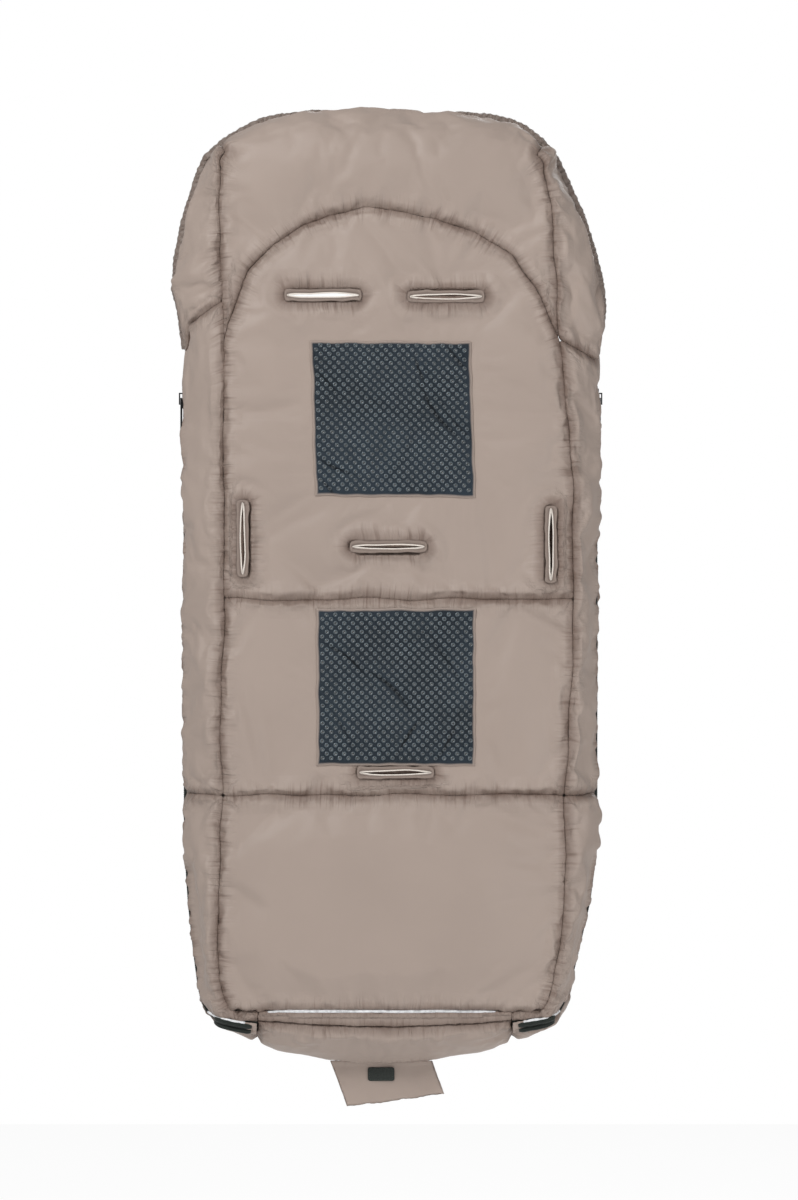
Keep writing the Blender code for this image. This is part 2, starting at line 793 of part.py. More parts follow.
def tube(name, centres, frames, radius, bore, sides, kind, body):
    """A tube along given centres, each with the two directions of its cross-section."""
    bm = bmesh.new()
    rings = []
    for size in (radius, bore):
        walls = []
        for centre, (first, second) in zip(centres, frames):
            turns = [2 * math.pi * k / sides for k in range(sides)]
            walls.append(
                [
                    bm.verts.new(centre + (first * math.cos(t) + second * math.sin(t)) * size)
                    for t in turns
                ]
            )
        rings.append(walls)
        if not bore:
            break
    for walls in rings:
        for a, b in zip(walls, walls[1:]):
            for k in range(sides):
                n = (k + 1) % sides
                bm.faces.new((a[k], a[n], b[n], b[k]))
    if bore:
        for end in (0, -1):
            for k in range(sides):
                n = (k + 1) % sides
                outer, inner = rings[0][end], rings[1][end]
                bm.faces.new((outer[k], outer[n], inner[n], inner[k]))
    else:
        bm.faces.new(rings[0][0])
        bm.faces.new(rings[0][-1])
    return add_object(name, bm, kind, body)


def hood_rim(body):
    """The gathered casing round the hood, with its elastic inside."""
    fall = (EDGE_Y - BACK_Y - HOOD_EDGE_DEPTH) * math.cos(math.radians(HOOD_EDGE_ANGLE))
    rim_y = EDGE_Y - fall + RIM_GAP + RIM_RADIUS
    centres, frames = [], []
    for k in range(31):
        w = blend(-ARCH_FOOT, ARCH_FOOT, k / 30)
        side = abs(w)
        peek = RIM_PEEK * ease(side - 0.6) * (1 - ease((side - 5.5) / 2))
        edge, back = ring(w)
        out = (edge - back).normalized()
        flat = edge + out * (peek - RIM_RADIUS)
        centres.append(Vector((flat.x, rim_y, flat.y)))
        frames.append((Vector((out.x, 0, out.y)), Vector((0, 1, 0))))
    bore = ELASTIC_RADIUS + RIM_GAP
    tube("hood_rim", centres, frames, RIM_RADIUS, bore, 8, "rim", body)
    tube("hood_elastic", centres, frames, ELASTIC_RADIUS, 0, 8, "elastic", body)


def pipings(body):
    """The reflective piping: along the hem, and along each corner over the zip."""
    line_y = BACK_Y + SEAM_SINK
    hem = []
    for k in range(13):
        share = blend(*HEM_PIPING_SHARES, k / 12)
        flat = blend(seam(HEM_CORNER), seam(LOOP - HEM_CORNER), share)
        hem.append(Vector((flat.x, line_y, flat.y - HEM_PIPING_DROP)))
    frames = [(Vector((0, 0, 1)), Vector((0, 1, 0)))] * len(hem)
    tube("hem_piping", hem, frames, PIPING_RADIUS, 0, 8, "piping", body)
    offset = -(TEETH_GAP + COIL_WIDTH + ZIP_ROOM) / 2
    last = walk(ZIP_END, -END_COVER_LENGTH - SEAM_GAP)
    depth = COIL_DEPTH
    for side in ("left", "right"):
        centres, frames = [], []
        for w in [w for w in lower_run() if HEM_CORNER - 1 < w < last] + [last]:
            w = w if side == "left" else LOOP - w
            angle = by_zip(w, offset)
            here = skin(w, angle, depth)
            out = (skin(w, angle, 0) - here).normalized()
            along = (skin(w + 0.01, by_zip(w + 0.01, offset), depth) - here).normalized()
            centres.append(here)
            frames.append((out, along.cross(out)))
        tube(f"{side}_corner_piping", centres, frames, PIPING_RADIUS, 0, 8, "piping", body)


def hinge_band(body):
    """The strip of cloth under the hem on which the cover folds."""
    stations = gapped(foot_run())
    inner = BAND_DEPTH + BAND_THICKNESS
    high = lambda w: BAND_ANGLE - degrees_of(w, BAND_ANGLE, SEAM_GAP)
    ribbon(
        "hinge_band", stations, hem_angle, high, BAND_DEPTH, inner, "shell", body, 2
    )


def front_cover(body):
    """The front cover: two front panels, the side panels up to the zips, and the foot."""
    pieces = (
        ("cover_upper_panel", LOWER_LINE, COVER_TOP, 4),
        ("cover_lower_panel", HEM_CORNER, LOWER_LINE, LEG_STEPS),
    )
    for name, low, high, count in pieces:
        stations = run(low, high, count)
        left = [front_seam(w) for w in stations]
        right = [front_seam(LOOP - w) for w in stations]
        shares = [share for share, _ in ARCH_SHARES]
        top = [blend(left[-1], right[-1], s) for s in shares]
        bottom = [blend(left[0], right[0], s) for s in shares]
        if low == HEM_CORNER:
            bottom = [front_seam(w) for w in foot_marks()]
        grid = patchwork(left, right, bottom, top)
        moved = drawn_in(grid, (2 * SEAM_GAP,) * 4)
        flat_panel(name, moved, FRONT_Y, FRONT_Y - PADDING, body, outline_of(grid))
    front = lambda w: 180 - degrees_of(w, 180, SEAM_GAP)
    lengthwise = (
        ("upper", COVER_TOP, LOWER_LINE, 7),
        ("lower", LOWER_LINE, ZIP_END, 0),
    )
    for side in ("left", "right"):
        for name, start, end, count in lengthwise:
            stations = gapped(run(start, end, count) if count else lower_run())
            if side == "right":
                stations = [LOOP - w for w in stations]
            low, edges = (lambda w: by_zip(w, ZIP_ROOM)), (ZIP_EDGE, SEAM_EDGE)
            side_panel(f"cover_{side}_{name}_side", stations, low, front, edges, body)
    stations = gapped(foot_run())
    low = lambda w: BAND_ANGLE + degrees_of(w, BAND_ANGLE, SEAM_GAP)
    middle = (90 - low(BOTTOM)) / (front(BOTTOM) - low(BOTTOM))
    lines = [blend(a, b, s) for a, b in ((0, middle), (middle, 1)) for s in FOOT_SHARES[:-1]]
    lines.append(1)
    side_panel("foot_end", stations, low, front, (SEAM_EDGE, SEAM_EDGE), body, lines)


def zip_halves(side, root, cover):
    """Both sides of one zip: a tape, a coil and a top stop on each, and the end cover."""
    def place(w):
        return w if side == "left" else LOOP - w

    marks = [blend(COVER_TOP, LOWER_LINE, k / 4) for k in range(4)] + lower_run()
    tape_top = walk(COVER_TOP, SEAM_GAP)
    stop_end = walk(tape_top, STOP_LENGTH)
    coil_top = walk(stop_end, STOP_GAP)
    coil_end = walk(ZIP_END, -SEAM_GAP)
    tape = [place(w) for w in [tape_top] + marks[1:-1] + [coil_end]]
    coil = [place(w) for w in [coil_top] + marks[1:-1] + [coil_end]]
    stop = [place(w) for w in (tape_top, stop_end)]
    for owner, way, body in (("body", -1, root), ("cover", 1, cover)):
        near = lambda w, way=way: by_zip(w, way * TEETH_GAP)
        coil_far = lambda w, way=way: by_zip(w, way * (TEETH_GAP + COIL_WIDTH))
        tape_far = lambda w, way=way: by_zip(w, way * (TEETH_GAP + TAPE_WIDTH))
        coil_inner = COIL_DEPTH + COIL_HEIGHT
        start = f"{side}_zip_{owner}"
        ribbon(f"{start}_coil", coil, near, coil_far, COIL_DEPTH, coil_inner, "tape", body)
        ribbon(f"{start}_stop", stop, near, coil_far, COIL_DEPTH, coil_inner, "metal", body)
        tape_inner = TAPE_DEPTH + TAPE_THICKNESS
        ribbon(f"{start}_tape", tape, near, tape_far, TAPE_DEPTH, tape_inner, "tape", body)
    reach = ZIP_ROOM - 2 * SEAM_GAP
    first = walk(ZIP_END, -END_COVER_LENGTH)
    stations = [place(blend(first, coil_end, k / 3)) for k in range(4)]
    deep = END_COVER_DEPTH + END_COVER_THICKNESS
    low, high = (lambda w: by_zip(w, -reach)), (lambda w: by_zip(w, reach))
    name = f"{side}_zip_end_cover"
    ribbon(name, stations, low, high, END_COVER_DEPTH, deep, "shell", root, 2)


def joined_boxes(boxes):
    """One closed body made of boxes that overlap or share faces, each as low and high corners."""
    marks = [sorted({box[k][axis] for box in boxes for k in (0, 1)}) for axis in range(3)]
    filled = set()
    for i in range(len(marks[0]) - 1):
        for j in range(len(marks[1]) - 1):
            for k in range(len(marks[2]) - 1):
                cell = (i, j, k)
                middle = [(marks[a][c] + marks[a][c + 1]) / 2 for a, c in enumerate(cell)]
                inside = (
                    all(low[a] < middle[a] < high[a] for a in range(3)) for low, high in boxes
                )
                if any(inside):
                    filled.add(cell)
    bm = bmesh.new()
    corners = {}

    def corner(key):
        if key not in corners:
            corners[key] = bm.verts.new([marks[a][key[a]] for a in range(3)])
        return corners[key]

    for cell in sorted(filled):
        for axis in range(3):
            for step in (0, 1):
                beside = list(cell)
                beside[axis] += 1 if step else -1
                if tuple(beside) in filled:
                    continue
                face = []
                for da, db in ((0, 0), (1, 0), (1, 1), (0, 1)):
                    key = list(cell)
                    key[axis] += step
                    key[(axis + 1) % 3] += da
                    key[(axis + 2) % 3] += db
                    face.append(corner(tuple(key)))
                bm.faces.new(face)
    bmesh.ops.recalc_face_normals(bm, faces=bm.faces)
    limit = math.radians(1)
    bmesh.ops.dissolve_limit(bm, angle_limit=limit, verts=bm.verts, edges=bm.edges)
    return bm


def slider_and_pull(side, root):
    """A zip slider that rides on both coils, and its pull, hung through the crown."""
    way = -1 if side == "left" else 1
    zip_top = skin(COVER_TOP if side == "left" else LOOP - COVER_TOP, 90, 0)
    centre = Vector((zip_top.x, EDGE_Y, zip_top.z - SLIDER_BELOW_TOP))

    def box(depths, width, heights):
        """A box between two depths under the skin, centred on the zip's middle line."""
        xs = sorted(centre.x - way * d for d in depths)
        low = (xs[0], width[0] + centre.y, centre.z + heights[0])
        high = (xs[1], width[1] + centre.y, centre.z + heights[1])
        return low, high

    half_w, half_l = SLIDER_WIDTH / 2, SLIDER_LENGTH / 2
    plate_in = COIL_DEPTH - SLIDER_CLEAR
    plate_out = plate_in - SLIDER_PLATE
    flange = TEETH_GAP + COIL_WIDTH + SLIDER_CLEAR
    flange_end = TAPE_DEPTH - SLIDER_CLEAR
    under = TAPE_DEPTH + TAPE_THICKNESS + 2 * SLIDER_CLEAR
    whole, along = (-half_w, half_w), (-half_l, half_l)
    post = SLIDER_POST / 2
    crown_top = plate_out - CROWN_ROOM - CROWN_BAR
    crown, leg = (-CROWN_WIDTH / 2, CROWN_WIDTH / 2), CROWN_LENGTH / 2
    boxes = [
        box((plate_out, plate_in), whole, along),
        box((plate_in, flange_end), (flange, half_w), along),
        box((plate_in, flange_end), (-half_w, -flange), along),
        box((under, under + SLIDER_PLATE), whole, along),
        box((plate_in, under), (-post, post), (half_l - SLIDER_POST_LENGTH, half_l)),
        box((crown_top, crown_top + CROWN_BAR), crown, (-leg, leg)),
        box((crown_top, plate_out), crown, (-leg, -leg + CROWN_BAR)),
        box((crown_top, plate_out), crown, (leg - CROWN_BAR, leg)),
    ]
    body = add_body(f"{side}_slider", centre)
    body.parent = root
    body.location = centre - root.location
    bpy.context.view_layer.update()
    slider = add_object(f"{side}_zip_slider", joined_boxes(boxes), "metal", root)
    hang(slider, body, centre)

    pin = plate_out - CROWN_ROOM / 2
    pin_x = centre.x - way * pin
    half_t, half_p = PULL_THICKNESS / 2, PULL_WIDTH / 2
    depths = (pin - half_t, pin + half_t)
    arm = crown[1] + 2 * SLIDER_CLEAR + BINDING_WALL
    boxes = [
        box(depths, (-half_p, half_p), (-half_t, half_t)),
        box(depths, (arm, half_p), (-PULL_EYE, half_t)),
        box(depths, (-half_p, -arm), (-PULL_EYE, half_t)),
        box(depths, (-half_p, half_p), (-PULL_LENGTH, -PULL_EYE)),
    ]
    axis = Vector((pin_x, centre.y, centre.z))
    pull_body = add_body(f"{side}_pull", axis)
    pull = add_object(f"{side}_zip_pull", joined_boxes(boxes), "metal", root)
    hang(pull, pull_body, axis)
    pull_body.parent = body
    pull_body.location = axis - centre


def hang(obj, body, place):
    """Hangs an object, whose mesh is in its final place, on a body whose axis is at place."""
    obj.parent = body
    obj.location = -place


def foot_tab(cover):
    """The flap under the foot end, with its fastener patch."""
    marks = [w for w in foot_marks() if TAB_START < w < TAB_STOP]
    top = [ring(w)[0] - Vector((0, TAB_GAP)) for w in [TAB_START] + marks + [TAB_STOP]]
    low_edge = ring(BOTTOM)[0].y - TAB_GAP
    axis = Vector(((top[0].x + top[-1].x) / 2, EDGE_Y, low_edge))
    body = add_body("foot_tab", axis)
    low = [
        Vector((top[-1].x + TAB_SLANT, low_edge - TAB_RIGHT_DROP)),
        Vector((top[0].x + TAB_SLANT, low_edge - TAB_LEFT_DROP)),
    ]
    outline = list(top)
    for k, corner in enumerate(low):
        before = (top[-1], low[0])[k]
        after = (low[1], top[0])[k]
        start = corner + (before - corner).normalized() * TAB_CORNER
        end = corner + (after - corner).normalized() * TAB_CORNER
        outline += [start, blend(blend(start, end, 0.5), corner, 0.4), end]
    near = EDGE_Y - TAB_THICKNESS / 2
    tab = add_object(
        "foot_tab", prism(outline, near, near + TAB_THICKNESS), "shell", cover
    )
    hang(tab, body, axis)
    middle = Vector((axis.x, low_edge - FASTENER_DROP))
    w, h = FASTENER_WIDTH / 2, FASTENER_HEIGHT / 2
    corners = [middle + Vector(p) for p in ((-w, -h), (w, -h), (w, h), (-w, h))]
    far = near - SEAM_GAP
    plate = prism(rounded(corners, FASTENER_CORNER, 3), far - FASTENER_THICKNESS, far)
    hang(add_object("foot_tab_fastener", plate, "black", cover), body, axis)
    body.parent = cover
    body.location = axis - cover.location


def main():
    clear_scene()
    root = add_body("root", Vector((0, 0, 0)))
    fold = Vector((0, FOLD_Y, seam(BOTTOM).y - FOLD_DROP))
    cover = add_body("cover", fold)
    cover.parent = root
    head_panel(root)
    panels = back_panels(root)
    body_sides(root)
    lining = linings(root, cover)
    patch_plate("upper_grip_patch", UPPER_PATCH_SHIFT, 0, UPPER_PATCH_SKEW, root)
    lower = low_slot_height() + SLIT_WIDTH / 2 + BINDING_FLANGE + PATCH_GAP + PATCH_HEIGHT / 2
    patch_plate("lower_grip_patch", LOWER_PATCH_SHIFT, lower, 0, root)
    slots(panels, lining, root)
    hood_rim(root)
    pipings(root)
    hinge_band(root)
    front_cover(cover)
    for side in ("left", "right"):
        zip_halves(side, root, cover)
        slider_and_pull(side, root)
    foot_tab(cover)


main()
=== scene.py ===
"""Dresses the padded stroller footmuff: quilted shell, fleece, grip patches, slots, zips and stage."""

import json
import math
from contextlib import contextmanager

import bmesh
import bpy
from mathutils import Euler, Matrix, Vector
from mathutils.bvhtree import BVHTree
from mathutils.noise import noise
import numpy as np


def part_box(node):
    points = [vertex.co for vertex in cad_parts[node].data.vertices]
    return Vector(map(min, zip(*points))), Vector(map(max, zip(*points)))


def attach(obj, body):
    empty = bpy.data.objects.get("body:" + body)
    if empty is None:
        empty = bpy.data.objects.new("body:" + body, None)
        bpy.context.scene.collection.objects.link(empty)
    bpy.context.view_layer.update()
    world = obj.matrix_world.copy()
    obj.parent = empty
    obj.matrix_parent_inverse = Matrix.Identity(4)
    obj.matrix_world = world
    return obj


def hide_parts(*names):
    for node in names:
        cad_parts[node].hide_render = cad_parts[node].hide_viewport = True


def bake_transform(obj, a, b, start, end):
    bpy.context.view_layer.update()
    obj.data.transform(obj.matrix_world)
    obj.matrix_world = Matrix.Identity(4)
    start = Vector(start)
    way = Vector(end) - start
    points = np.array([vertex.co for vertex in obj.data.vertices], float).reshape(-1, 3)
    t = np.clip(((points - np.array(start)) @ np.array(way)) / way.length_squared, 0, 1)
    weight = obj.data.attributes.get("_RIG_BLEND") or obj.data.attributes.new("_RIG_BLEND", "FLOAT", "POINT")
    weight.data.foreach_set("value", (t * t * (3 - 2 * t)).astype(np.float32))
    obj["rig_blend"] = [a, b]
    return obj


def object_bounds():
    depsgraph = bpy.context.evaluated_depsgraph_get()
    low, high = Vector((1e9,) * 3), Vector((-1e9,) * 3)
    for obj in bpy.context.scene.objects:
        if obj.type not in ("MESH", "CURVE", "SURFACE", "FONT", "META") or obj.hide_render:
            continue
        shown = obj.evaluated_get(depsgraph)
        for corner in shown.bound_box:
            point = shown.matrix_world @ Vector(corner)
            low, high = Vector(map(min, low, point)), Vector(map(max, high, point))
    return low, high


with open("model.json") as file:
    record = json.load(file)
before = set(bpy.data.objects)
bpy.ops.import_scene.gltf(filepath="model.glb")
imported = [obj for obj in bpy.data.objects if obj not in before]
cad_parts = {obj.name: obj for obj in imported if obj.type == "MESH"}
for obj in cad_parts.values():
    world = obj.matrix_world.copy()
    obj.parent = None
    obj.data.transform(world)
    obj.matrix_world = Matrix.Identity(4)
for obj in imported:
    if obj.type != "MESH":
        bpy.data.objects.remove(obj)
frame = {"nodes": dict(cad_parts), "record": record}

bl_info = {
    "name": "Footmuff Dresser",
    "version": (1, 0, 0),
    "blender": (4, 5, 0),
    "location": "View3D > Sidebar > Footmuff",
    "description": "Sews the shell, lining, patches, slots and zips of a padded footmuff over its frame",
    "category": "Object",
}

CAD_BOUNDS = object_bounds()
ZIP_DEPTH = 0.052  # of the plane in which the zips and the foot tab lie
MERGE = 0.00002  # points of a frame mesh that lie closer than this are one
SWELL_STEPS = 18  # frames for which the padding swells the cloth
FAR = 0.05  # past this a panel counts as clear of other nodes and of its seams
FLOOR_DROP = 0.56  # the floor's depth under the frame, more than the opened cover reaches

BACK_PANELS = ("head_panel", "back_panel", "seat_panel", "leg_panel")
BODY_SIDES = tuple(
    f"{side}_{name}" for side in ("left", "right") for name in ("hood_side", "upper_side", "lower_side")
)
COVER_PANELS = ("cover_upper_panel", "cover_lower_panel")
COVER_SIDES = tuple(
    f"cover_{side}_{name}_side" for side in ("left", "right") for name in ("upper", "lower")
)
SHELL = BACK_PANELS + BODY_SIDES + COVER_PANELS + COVER_SIDES + ("foot_end",)
EDGES = ("hinge_band", "hem_piping", "left_corner_piping", "right_corner_piping", "hood_rim")
CORNERED = ("leg_panel", "left_upper_side", "right_upper_side", "left_lower_side", "right_lower_side")
CORNERS = ("left_corner_piping", "right_corner_piping", "left_zip_body_tape", "right_zip_body_tape")
FOOT_MATES = ("left_lower_side", "right_lower_side", "left_zip_end_cover", "right_zip_end_cover")
LININGS = ("back_lining", "left_side_lining", "right_side_lining", "hood_lining", "cover_lining")
PATCHES = ("upper_grip_patch", "lower_grip_patch")
SLOTS = ("left_shoulder", "right_shoulder", "left_hip", "right_hip", "waist", "low")
BENT = {
    "hinge_band": ((0, 0.009, -0.596), (0, 0.009, -0.612)),
    "left_zip_end_cover": ((0, 0.008, -0.604), (0, 0.012, -0.609)),
    "right_zip_end_cover": ((0, 0.008, -0.604), (0, 0.012, -0.609)),
}
BODY_OF = {node: body for body, nodes in frame["record"]["behaviour"]["bodies"].items() for node in nodes}


# Sizes and colours

def colour(name, text, value):
    return bpy.props.FloatVectorProperty(
        name=name, description=text, default=value, size=3, min=0, max=1, subtype="COLOR"
    )


def length(name, text, value):
    return bpy.props.FloatProperty(
        name=name, description=text, default=value, min=0, subtype="DISTANCE", unit="LENGTH"
    )


def factor(name, text, value):
    return bpy.props.FloatProperty(
        name=name, description=text, default=value, min=0, max=0.5, subtype="FACTOR"
    )


class FootmuffColours(bpy.types.PropertyGroup):
    shell: colour("Shell", "Nylon of the padded panels", (0.392, 0.314, 0.270))
    # crease_shade: painted shade, the colour that seams, pleats, gathers and slot bindings darken towards
    crease_shade: colour("Crease", "Shell deep in its seams", (0.165, 0.112, 0.088))
    fleece: colour("Fleece", "Lining", (0.76, 0.69, 0.59))
    grip: colour("Grip cloth", "Ground of the anti-slip patches", (0.017, 0.026, 0.036))
    dot: colour("Grip dots", "Raised dots of the patches", (0.125, 0.158, 0.180))
    lip: colour("Slot lip", "Turned inner edge of a slot", (0.84, 0.77, 0.70))
    piping: colour("Piping", "Reflective piping", (0.88, 0.89, 0.91))
    tape: colour("Zip tape", "Tape and coil of the zips", (0.016, 0.022, 0.018))
    metal: colour("Zip metal", "Sliders, pulls and stops", (0.035, 0.035, 0.037))


class FootmuffSizes(bpy.types.PropertyGroup):
    weave: length("Cloth step", "Edge of the cloth's faces before they are refined", 0.0046)
    rise: length("Puff", "How far the padding may push a panel out", 0.009)
    hold: length("Seam hold", "Width over which a seam holds the cloth down", 0.008)
    # shade: how far from a seam both the pleats and the painted crease shade reach
    shade: length("Crease reach", "How far from a seam the cloth still creases", 0.030)
    gather: length("Gathered width", "Width of the gathered cloth along a seam", 0.022)
    pleat: length("Pleat length", "Usual length of a pleat, square to its seam", 0.013)
    pleat_height: length("Pleat height", "How far a pleat rises", 0.0017)
    seam_close: length("Seam closing", "Gap over which sewn edges still close fully", 0.0021)
    slack: factor("Gathering", "Extra cloth along the seams", 0.15)
    ease: factor("Ease", "Extra cloth in the middle of a panel", 0.02)
    dot_pitch: length("Dot pitch", "From dot to dot across a patch", 0.0087)
    dot_radius: length("Dot radius", "Radius of a dot at its foot", 0.0024)
    tooth_pitch: length("Tooth pitch", "From tooth to tooth along a zip", 0.0022)


def colours():
    return bpy.context.scene.footmuff_colours


def sizes():
    return bpy.context.scene.footmuff_sizes


# Materials

class Finish:
    """A material under construction, with short ways to add and join its nodes."""

    def __init__(self, name, base, rough, **sockets):
        self.material = bpy.data.materials.new(name)
        self.material.use_nodes = True
        self.nodes = self.material.node_tree.nodes
        self.shader = self.nodes["Principled BSDF"]
        self.shader.inputs["Base Color"].default_value = (*base, 1)
        self.shader.inputs["Roughness"].default_value = rough
        for key, value in sockets.items():
            self.shader.inputs[key.replace("_", " ")].default_value = value
        self.place = self.add("ShaderNodeTexCoord").outputs["Object"]
        self.base = base
        self.colour = self.normal = None

    def add(self, kind, **values):
        node = self.nodes.new(kind)
        for key, value in values.items():
            if key in node.inputs:
                node.inputs[key].default_value = value
            else:
                setattr(node, key, value)
        return node

    def join(self, out, into):
        self.material.node_tree.links.new(out, into)

    def noise(self, scale, detail=3.0, distortion=0.0, place=None):
        node = self.add("ShaderNodeTexNoise", Scale=scale, Detail=detail, Distortion=distortion)
        self.join(place or self.place, node.inputs["Vector"])
        return node.outputs["Fac"]

    def bands(self, scale, direction):
        node = self.add("ShaderNodeTexWave", Scale=scale, bands_direction=direction, Distortion=0.4)
        self.join(self.place, node.inputs["Vector"])
        return node.outputs["Fac"]

    def scaled(self, value, low, high, into_low=0.0, into_high=1.0):
        node = self.add("ShaderNodeMapRange")
        for key, number in zip((1, 2, 3, 4), (low, high, into_low, into_high)):
            node.inputs[key].default_value = number
        self.join(value, node.inputs[0])
        return node.outputs[0]

    def times(self, first, second):
        node = self.add("ShaderNodeMath", operation="MULTIPLY")
        self.join(first, node.inputs[0])
        self.join(second, node.inputs[1])
        return node.outputs[0]

    def attribute(self, name, kind="Fac"):
        return self.add("ShaderNodeAttribute", attribute_name=name).outputs[kind]

    def tint(self, factor, second):
        """Mixes a second colour in by a factor, over what the colour is so far."""
        node = self.add("ShaderNodeMix", data_type="RGBA")
        amount, first, other = (node.inputs[k] for k in (0, 6, 7))
        if self.colour is None:
            first.default_value = (*self.base, 1)
        else:
            self.join(self.colour, first)
        other.default_value = (*second, 1)
        self.join(factor, amount)
        self.colour = node.outputs[2]
        self.join(self.colour, self.shader.inputs["Base Color"])

    def mottle(self, scale, detail, low, high, share):
        """Spots in a share of the base colour, with their edges between two levels of noise."""
        self.tint(self.scaled(self.noise(scale, detail), low, high), darker(self.base, share))

    def bump(self, height, distance, strength=1.0):
        node = self.add("ShaderNodeBump", Distance=distance, Strength=strength)
        self.join(height, node.inputs["Height"])
        if self.normal is not None:
            self.join(self.normal, node.inputs["Normal"])
        self.normal = node.outputs["Normal"]
        self.join(self.normal, self.shader.inputs["Normal"])

    def grain(self, scale, detail, distance, strength, distortion=0.0):
        self.bump(self.noise(scale, detail, distortion), distance, strength)

    def weave(self, scale, second, distance, strength):
        """Threads that cross: bands along X times bands in a second direction."""
        crossed = self.times(self.bands(scale, "X"), self.bands(scale, second))
        self.bump(crossed, distance, strength)


def darker(value, share):
    return tuple(channel * share for channel in value)


def nylon(name, base, crease_shade):
    """Satin nylon with a fine weave, gathered in short pleats that run square to its seams, with painted
    shade darkening the seams and the pleats near them.

    The attribute seam is 1 on a seam and 0 far from it, and sets both the pleats' bumps and the strength of
    the painted crease shade; sewn is the nearest place on a seam, so a texture laid over it doesn't change
    along a pleat.
    """
    finish = Finish(name, base, 0.52, Specular_IOR_Level=0.4, Sheen_Weight=0.1, Sheen_Roughness=0.4)
    scaled, times = finish.scaled, finish.times
    finish.mottle(9, 4, 0.3, 0.7, 0.95)
    near = finish.attribute("seam")
    sewn = finish.attribute("sewn", "Vector")
    uneven = scaled(finish.noise(20, 3), 0.3, 0.65, 0.35, 1.0)
    # Painted shade: a soft, uneven dark band along each seam
    finish.tint(times(scaled(near, 0.64, 0.95, 0.0, 0.95), uneven), crease_shade)
    # Painted shade in fine lines across the pleats near the seams
    hairs = scaled(finish.noise(300, 3, 0.6, sewn), 0.53, 0.66)
    reach = times(scaled(near, 0.45, 0.85), scaled(finish.noise(60, 2, 0, sewn), 0.36, 0.56))
    finish.tint(times(hairs, times(reach, scaled(near, 0, 1, 0.5, 0.8))), crease_shade)
    # Painted shadow: a darker line in the seam's groove itself
    finish.tint(scaled(near, 0.94, 1.0, 0.0, 0.7), darker(crease_shade, 0.5))
    pleats = finish.noise(210, 3, 0.5, sewn)
    finish.bump(times(pleats, scaled(near, 0.3, 0.85)), 0.0034, 0.9)
    finish.bump(times(finish.noise(95, 3, 1.0), scaled(near, 0.2, 0.8, 0.06, 0.9)), 0.0018, 0.6)
    finish.grain(30, 2, 0.0012, 0.35)
    finish.weave(700, "Z", 0.00006, 0.3)
    return finish.material


def plain(name, base, rough, spots, grain, **sockets):
    """An even finish with darker spots and a fine grain."""
    finish = Finish(name, base, rough, **sockets)
    finish.mottle(*spots)
    finish.grain(*grain)
    return finish.material


def fleece(name, base):
    finish = Finish(name, base, 0.95, Sheen_Weight=0.5, Sheen_Roughness=0.6, Specular_IOR_Level=0.15)
    finish.mottle(420, 4, 0.35, 0.75, 0.80)
    finish.grain(300, 5, 0.0012, 0.9, 0.8)
    finish.grain(60, 3, 0.0015, 0.5)
    return finish.material


def grip_cloth(name, base, rim):
    finish = Finish(name, base, 0.6, Specular_IOR_Level=0.22)
    finish.mottle(500, 3, 0.3, 0.7, 0.5)
    finish.mottle(11, 2, 0.4, 0.6, 1.2)
    # Painted shade in the creases beside the folds
    finish.tint(finish.attribute("fold"), darker(base, 0.18))
    finish.tint(finish.attribute("rim"), rim)
    finish.weave(520, "Z", 0.0001, 0.6)
    finish.grain(90, 3, 0.0008, 0.5, 0.6)
    return finish.material


def rubber_dot(name, base):
    finish = Finish(name, base, 0.28, Specular_IOR_Level=0.6, Coat_Weight=0.3, Coat_Roughness=0.2)
    finish.mottle(45, 3, 0.3, 0.7, 0.45)
    # Painted shade on the dots in the creases beside the folds
    finish.tint(finish.attribute("fold"), darker(base, 0.25))
    finish.tint(finish.attribute("pit"), darker(base, 0.12))
    finish.grain(900, 2, 0.00005, 0.5)
    return finish.material


def webbing(name, base, scale=420, rough=0.8):
    """Woven tape: fine ribs both ways, a little uneven in colour."""
    finish = Finish(name, base, rough, Specular_IOR_Level=0.3, Sheen_Weight=0.2)
    finish.mottle(240, 3, 0.3, 0.7, 0.72)
    finish.weave(scale, "DIAGONAL", 0.00015, 0.8)
    finish.grain(140, 2, 0.0005, 0.5)
    return finish.material


def lip_cloth(name, shell, crease_shade, lip):
    """Slot binding: shell nylon outside, painted shade where the attribute seam says and a pale turned edge
    where the attribute lip says.
    """
    finish = Finish(name, shell, 0.6, Specular_IOR_Level=0.35)
    # Painted shade from the slot's rings
    finish.tint(finish.attribute("seam"), darker(crease_shade, 0.55))
    finish.tint(finish.attribute("lip"), lip)
    finish.grain(220, 3, 0.0005, 0.6)
    return finish.material


def hook_tape(name, base):
    finish = Finish(name, base, 0.7, Sheen_Weight=0.2)
    cells = finish.add("ShaderNodeTexVoronoi", Scale=900.0)
    finish.join(finish.place, cells.inputs["Vector"])
    finish.tint(finish.scaled(cells.outputs["Distance"], 0.1, 0.6), darker(base, 2.2))
    finish.bump(cells.outputs["Distance"], 0.0005, 0.8)
    return finish.material


